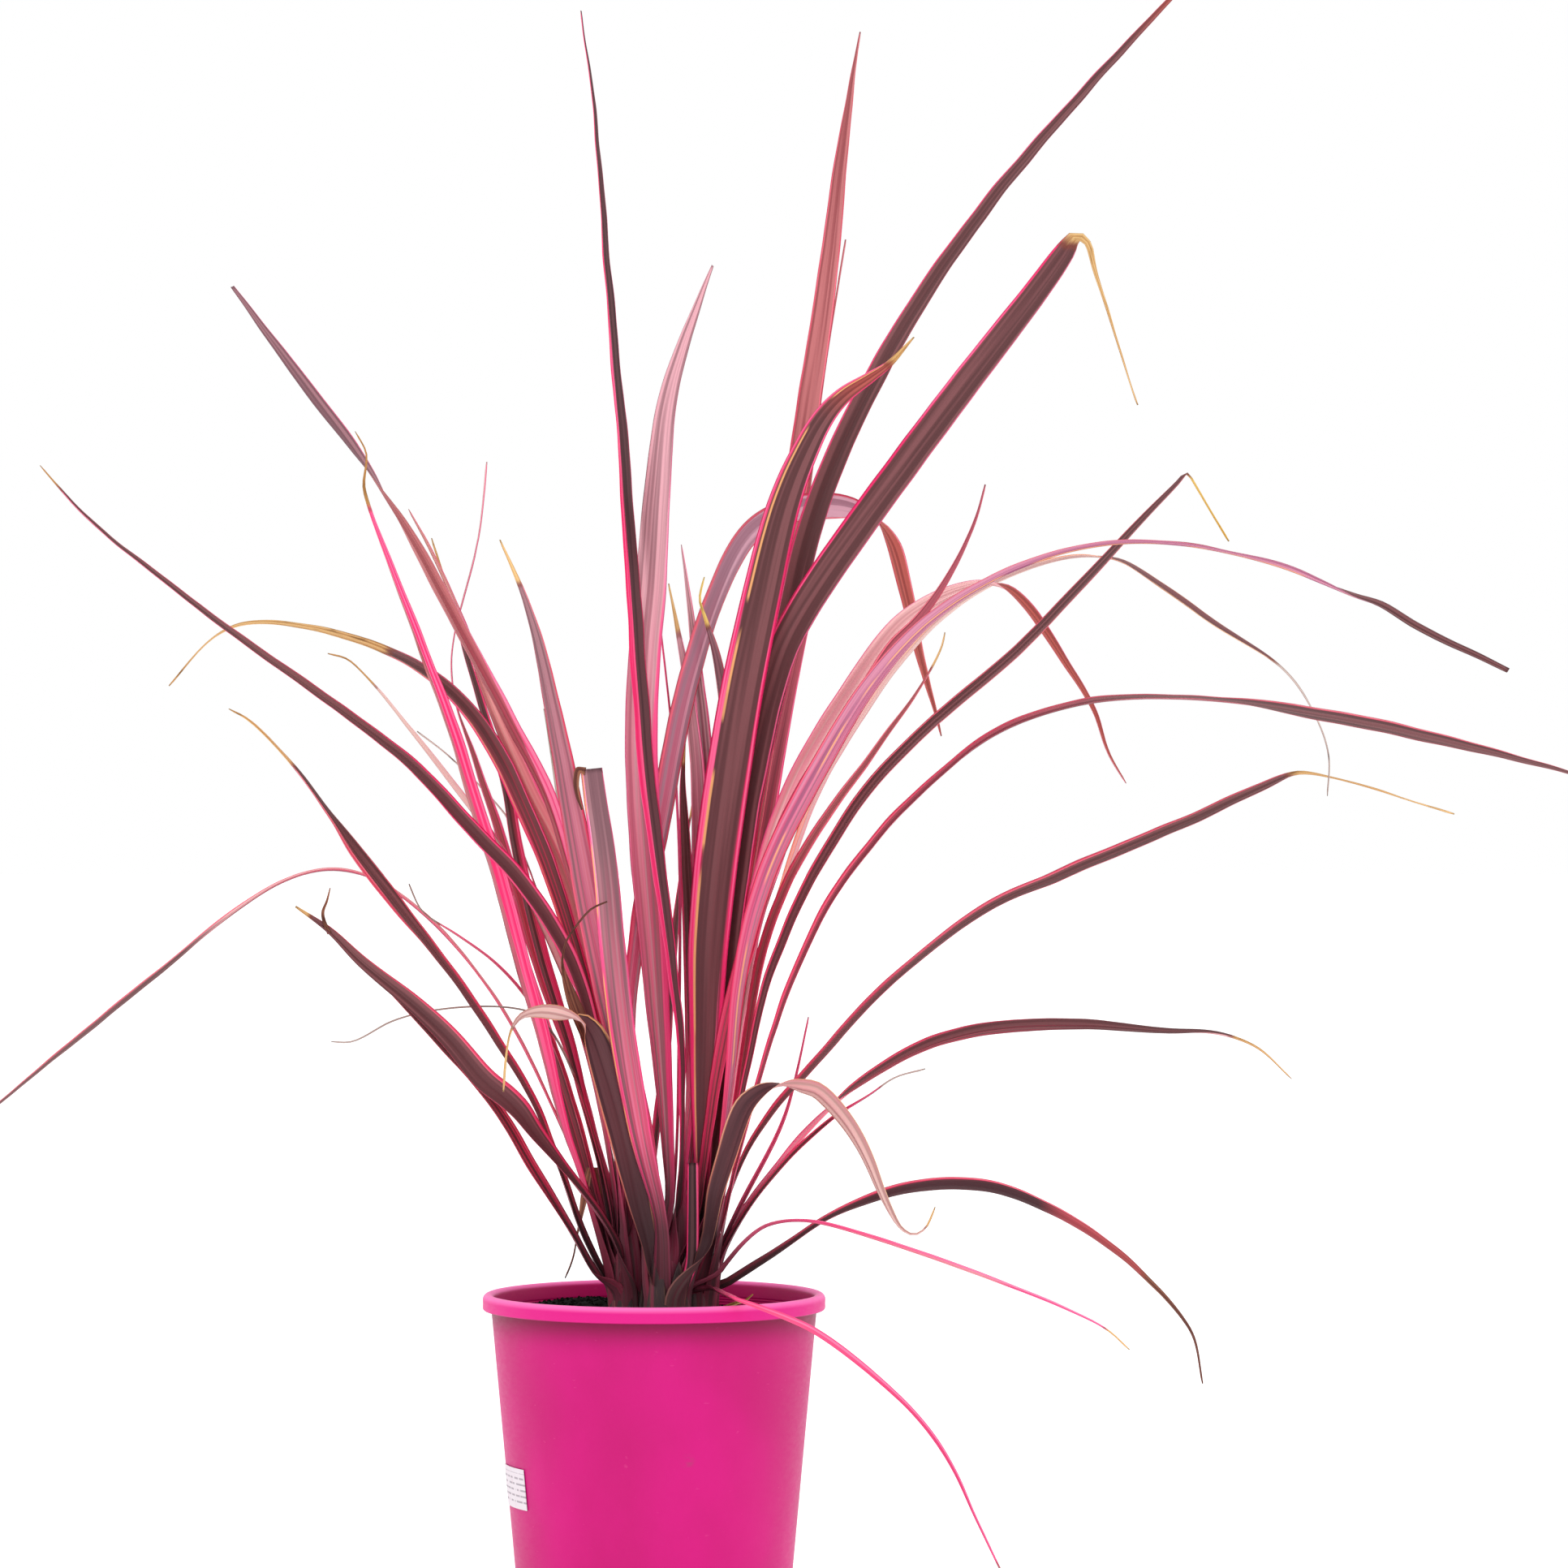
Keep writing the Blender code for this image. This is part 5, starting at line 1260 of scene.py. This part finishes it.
@dataclass
class MixBed:
    """The potting mix with its lumpy top and loose crumbs.

    Attributes:
        level: Height of its top.
        radius: Radius of its top.
        floor_radius: Radius at the pot's floor.
        bottom: Height of its underside.
        lump: How far its lumps rise and sink.
        mound: How high it is heaped up on the left.
        heap: Middle of the heap.
        heap_reach: Radius of the heap.
        border: Width of the flatter border along the wall.
        rings: Rings of the top surface.
        steps: Facets round the pot.
        crumbs: Crumbs to a square metre.
        crumb_sizes: Smallest and largest radius of a crumb.
        seed: Seed of the scattering.
    """

    level: float = 0.189
    radius: float = 0.0974
    floor_radius: float = 0.0800
    bottom: float = 0.0030
    lump: float = 0.0020
    mound: float = 0.0088
    heap: tuple[float, float] = (-0.042, 0.034)
    heap_reach: float = 0.056
    border: float = 0.012
    rings: int = 44
    steps: int = 132
    crumbs: float = 60000.0
    crumb_sizes: tuple[float, float] = (0.0004, 0.0016)
    seed: int = 11

    def make(self, finish: bpy.types.Material) -> list[bpy.types.Object]:
        """Build the mix and its crumbs.

        Args:
            finish: The mix's material.

        Returns:
            The mix and the crumbs.
        """
        points = [(float(radius), self.level) for radius in np.linspace(0.0, self.radius, self.rings)]
        points += [(self.floor_radius, self.bottom), (0.0, self.bottom)]
        bed = turn_profile("potting_mix_bed", points, self.steps)
        mesh = settle(bed)
        for vertex in mesh.vertices:
            reach = math.hypot(vertex.co.x, vertex.co.y)
            if vertex.co.z > self.level - 0.001 and reach < self.radius - 0.001:
                broad = noise.noise(vertex.co * 38.0) * 0.9
                small = noise.noise(vertex.co * 150.0) * 0.7
                away = math.hypot(vertex.co.x - self.heap[0], vertex.co.y - self.heap[1]) / self.heap_reach
                border = min(1.0, (self.radius - reach) / self.border)
                vertex.co.z += (broad + small) * self.lump
                vertex.co.z += self.mound * max(0.0, 1.0 - away ** 2) * border
        mesh.shade_smooth()
        mesh.materials.append(finish)
        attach(bed, "root")
        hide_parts("potting_mix")
        return [bed, self.scatter(mesh, finish)]

    def scatter(self, bed: bpy.types.Mesh, finish: bpy.types.Material) -> bpy.types.Object:
        """Scatter crumbs over the top of the bed.

        Args:
            bed: The bed's mesh.
            finish: The mix's material.

        Returns:
            The crumbs as one object.
        """
        shape = bmesh.new()
        shape.from_mesh(bed)
        low = [face for face in shape.faces if face.calc_center_median().z < self.level - 0.004
               or face.calc_center_median().xy.length > self.radius - 0.004]
        bmesh.ops.delete(shape, geom=low, context="FACES")
        smallest, largest = self.crumb_sizes
        crumbs = CrumbTree().apply(put_shape("crumb_ground", shape), "mix_crumbs", Density=self.crumbs,
                                   Smallest=smallest, Largest=largest, Seed=self.seed, Finish=finish)
        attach(crumbs, "root")
        return crumbs


@dataclass(frozen=True)
class SheathFinish:
    """Fibrous leaf bases, wine red with pink and tan streaks."""

    ground: Triple = srgb(58, 36, 40)
    streak: Triple = srgb(128, 44, 66)
    fibre: Triple = srgb(120, 84, 66)

    def make(self) -> bpy.types.Material:
        """Build the material.

        Returns:
            The finished material.
        """
        skin = Surface("stem_sheaths")
        place = skin.place()
        lines = skin.noise(place, (900.0, 900.0, 22.0), 3.0)
        bands = skin.noise(place, (240.0, 240.0, 9.0))
        colour = skin.mix(bands.rise(0.50, 0.66), self.ground, self.streak)
        colour = skin.mix(lines.rise(0.55, 0.7) * 0.6, colour, self.fibre)
        return skin.painted(colour, 0.7, (lines, 0.0008, 0.8))


@dataclass
class StemSheaths:
    """One short stem wrapped in old leaf bases.

    Attributes:
        side: Which of the three stems it is.
        wraps: Number of leaf bases round it.
        reach: How far the outer bases rise above the mix.
        foot: Height at which they start.
        rows: Places up a base.
        columns: Places across a base.
        thick: Thickness of a base.
        spread: Half the angle that a base takes round the stem.
        lean: How far its tip leans in.
    """

    side: str
    wraps: int = 9
    reach: float = 0.046
    foot: float = 0.184
    rows: int = 9
    columns: int = 9
    thick: float = 0.0006
    spread: float = 0.66
    lean: float = 0.0028

    def make(self, finish: bpy.types.Material) -> bpy.types.Object:
        """Build the stem with its wraps.

        Args:
            finish: The material of the sheaths.

        Returns:
            The stem.
        """
        low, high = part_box(f"stem_{self.side}")
        centre = (low + high) / 2
        radius = (high.x - low.x) / 2
        shape = bmesh.new()
        shape.from_mesh(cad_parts[f"stem_{self.side}"].data)
        bmesh.ops.remove_doubles(shape, verts=shape.verts, dist=WELD)
        for index in range(self.wraps):
            turn = math.tau * index / self.wraps + 0.4 * noise.noise(Vector((index, radius, centre.x * 90)))
            self.wrap(shape, centre, radius * 0.93, turn, self.reach * (0.7 + 0.3 * math.sin(index * 2.4)))
        stem = put_shape(f"stem_sheaths_{self.side}", shape)
        stem.data.materials.append(finish)
        stem.data.shade_smooth()
        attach(stem, "root")
        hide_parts(f"stem_{self.side}")
        return stem

    def wrap(self, shape: bmesh.types.BMesh, centre: Vector, radius: float, turn: float,
             reach: float) -> None:
        """Add one tapering leaf base round the stem.

        Args:
            shape: The mesh that takes it.
            centre: The stem's centre.
            radius: The stem's radius.
            turn: Its place round the stem in radians.
            reach: Its height above the mix.
        """
        loops = []
        for row in range(self.rows):
            share = row / (self.rows - 1)
            height = self.foot + (0.005 + reach) * share
            width = self.spread * (1.0 - share ** 2.6) + 0.02
            out = radius + 0.0012 - self.lean * share + 0.0006 * math.sin(turn * 5)
            loop = []
            for way in (1, -1):
                swell = out + way * self.thick / 2
                for column in range(self.columns)[::way]:
                    angle = turn + width * (2 * column / (self.columns - 1) - 1)
                    loop.append(shape.verts.new((centre.x + swell * math.cos(angle),
                                                 centre.y + swell * math.sin(angle), height)))
            loops.append(loop)
        count = len(loops[0])
        for lower, upper in zip(loops, loops[1:]):
            for start in range(count):
                stop = (start + 1) % count
                shape.faces.new((lower[start], lower[stop], upper[stop], upper[start]))
        shape.faces.new(list(reversed(loops[0])))
        shape.faces.new(loops[-1])


@dataclass(frozen=True)
class LabelFinish:
    """White, slightly stained paper label with plain grey bars.

    Attributes:
        pitch: Height from one bar to the next in metres.
        lowest: Height below which it has no bars.
        highest: Height above which it has none.
    """

    paper: Triple = srgb(214, 206, 212)
    soil: Triple = srgb(206, 178, 190)
    ink: Triple = srgb(128, 118, 128)
    pitch: float = 0.0036
    lowest: float = 0.0785
    highest: float = 0.0990

    def make(self) -> bpy.types.Material:
        """Build the material.

        Returns:
            The finished material.
        """
        skin = Surface("label_paper")
        place = skin.place()
        fibre = skin.noise(place, (1400.0, 1400.0, 1400.0))
        stain = skin.noise(place, (120.0, 120.0, 120.0))
        colour = skin.mix(stain.rise(0.5, 0.8) * 0.35, self.paper, self.soil)
        across, back, height = skin.parts(place)
        row = height * (1.0 / self.pitch)
        step = skin.sum("FRACT", row)
        bar = step.rise(0.30, 0.40) * step.rise(0.72, 0.62)
        words = skin.joined(skin.sum("ARCTAN2", back, across) * 26.0, 0.0, skin.sum("FLOOR", row))
        gaps = skin.noise(words, (1.0, 1.0, 7.3), 1.0)
        inset = (height.rise(self.lowest, self.lowest + 0.0005)
                 * height.rise(self.highest, self.highest - 0.0005))
        bar = bar * inset * gaps.rise(0.42, 0.46)
        return skin.painted(skin.mix(bar * 0.7, colour, self.ink), 0.7, (fibre, 0.00005, 0.5))


class PaperLabel:
    """The label on the pot's wall."""

    def make(self, finish: bpy.types.Material) -> bpy.types.Object:
        """Dress the label's solid.

        Args:
            finish: The paper.

        Returns:
            The label's node.
        """
        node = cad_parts["label"]
        node.data.materials.clear()
        node.data.materials.append(finish)
        return node


@dataclass
class Studio:
    """The plain floor, the soft lights and the camera.

    Attributes:
        eye: The camera's place.
        lens: Its focal length in millimetres on a 36 mm wide sensor.
        floor_reach: How far the floor reaches from the plant.
        aim: The place that the lights look at.
    """

    eye: Triple = (0.080, -3.640, 0.5185)
    lens: float = 135.65
    floor_reach: float = 30.0
    aim: Triple = (0.0, 0.0, 0.45)

    def floor(self) -> bpy.types.Object:
        """Lay the pale floor.

        Returns:
            The floor.
        """
        shape = bmesh.new()
        bmesh.ops.create_grid(shape, x_segments=1, y_segments=1, size=self.floor_reach)
        floor = put_shape("studio_floor", shape)
        skin = Surface("studio_floor")
        skin.fill(skin.shader, {
            "Base Color": (0.95, 0.95, 0.95, 1.0), "Roughness": 0.9, "Specular IOR Level": 0.0,
            "Emission Color": (1.0, 1.0, 1.0, 1.0), "Emission Strength": 0.35})
        floor.data.materials.append(skin.material)
        return floor

    def light(self, name: str, place: Triple, size: float, power: float) -> bpy.types.Object:
        """Hang a soft light that looks at the plant.

        Args:
            name: The light's name.
            place: Where it hangs.
            size: Its width in metres.
            power: Its power in watts.

        Returns:
            The light.
        """
        lamp = bpy.data.lights.new(name, "AREA")
        lamp.size = size
        lamp.energy = power
        thing = put_object(name, lamp)
        thing.location = place
        thing.rotation_euler = (Vector(self.aim) - Vector(place)).to_track_quat("-Z", "Y").to_euler()
        return thing

    def make(self) -> None:
        """Set the stage."""
        scene = bpy.context.scene
        self.floor()
        for name, place, size, power in (
                ("key", (-1.6, -2.6, 2.4), 1.6, 12.0), ("fill", (2.2, -2.4, 1.4), 1.8, 5.0),
                ("top", (0.0, 0.4, 3.0), 2.2, 8.0), ("front", (0.1, -3.9, 0.9), 1.4, 9.0),
                ("left", (-2.6, 0.5, 0.5), 1.8, 7.0), ("right", (2.6, 0.5, 0.5), 1.8, 7.0)):
            self.light(f"{name}_light", place, size, power)
        world = bpy.data.worlds.new("studio")
        world.use_nodes = True
        Graph(world.node_tree).fill(world.node_tree.nodes["Background"], {0: (1.0, 1.0, 1.0, 1.0), 1: 1.0})
        scene.world = world
        camera = bpy.data.cameras.new("camera")
        camera.lens = self.lens
        camera.sensor_width = 36.0
        camera.clip_end = 100.0
        scene.camera = put_object("camera", camera)
        scene.camera.location = self.eye
        scene.camera.rotation_euler = (math.radians(90.0), 0.0, 0.0)
        scene.view_settings.view_transform = "Standard"
        scene.view_settings.look = "None"
        scene.view_settings.exposure = 0.0


def main() -> None:
    """Build the sub-assemblies in order and note each one."""
    logging.basicConfig(level=logging.INFO, format="%(message)s")
    Studio().make()
    earth = EarthFinish().make()
    made = [NurseryPot().make(PotFinish().make())]
    made += MixBed().make(earth)
    sheath = SheathFinish().make()
    made += [StemSheaths(side).make(sheath) for side in ("left", "middle", "right")]
    made.append(PaperLabel().make(LabelFinish().make()))
    made += Clump(LOOKS, LOOSE_ENDS).make()
    for thing in made:
        LOG.info("%s: %d faces", thing.name, len(thing.data.polygons))


if __name__ == "__main__":
    main()
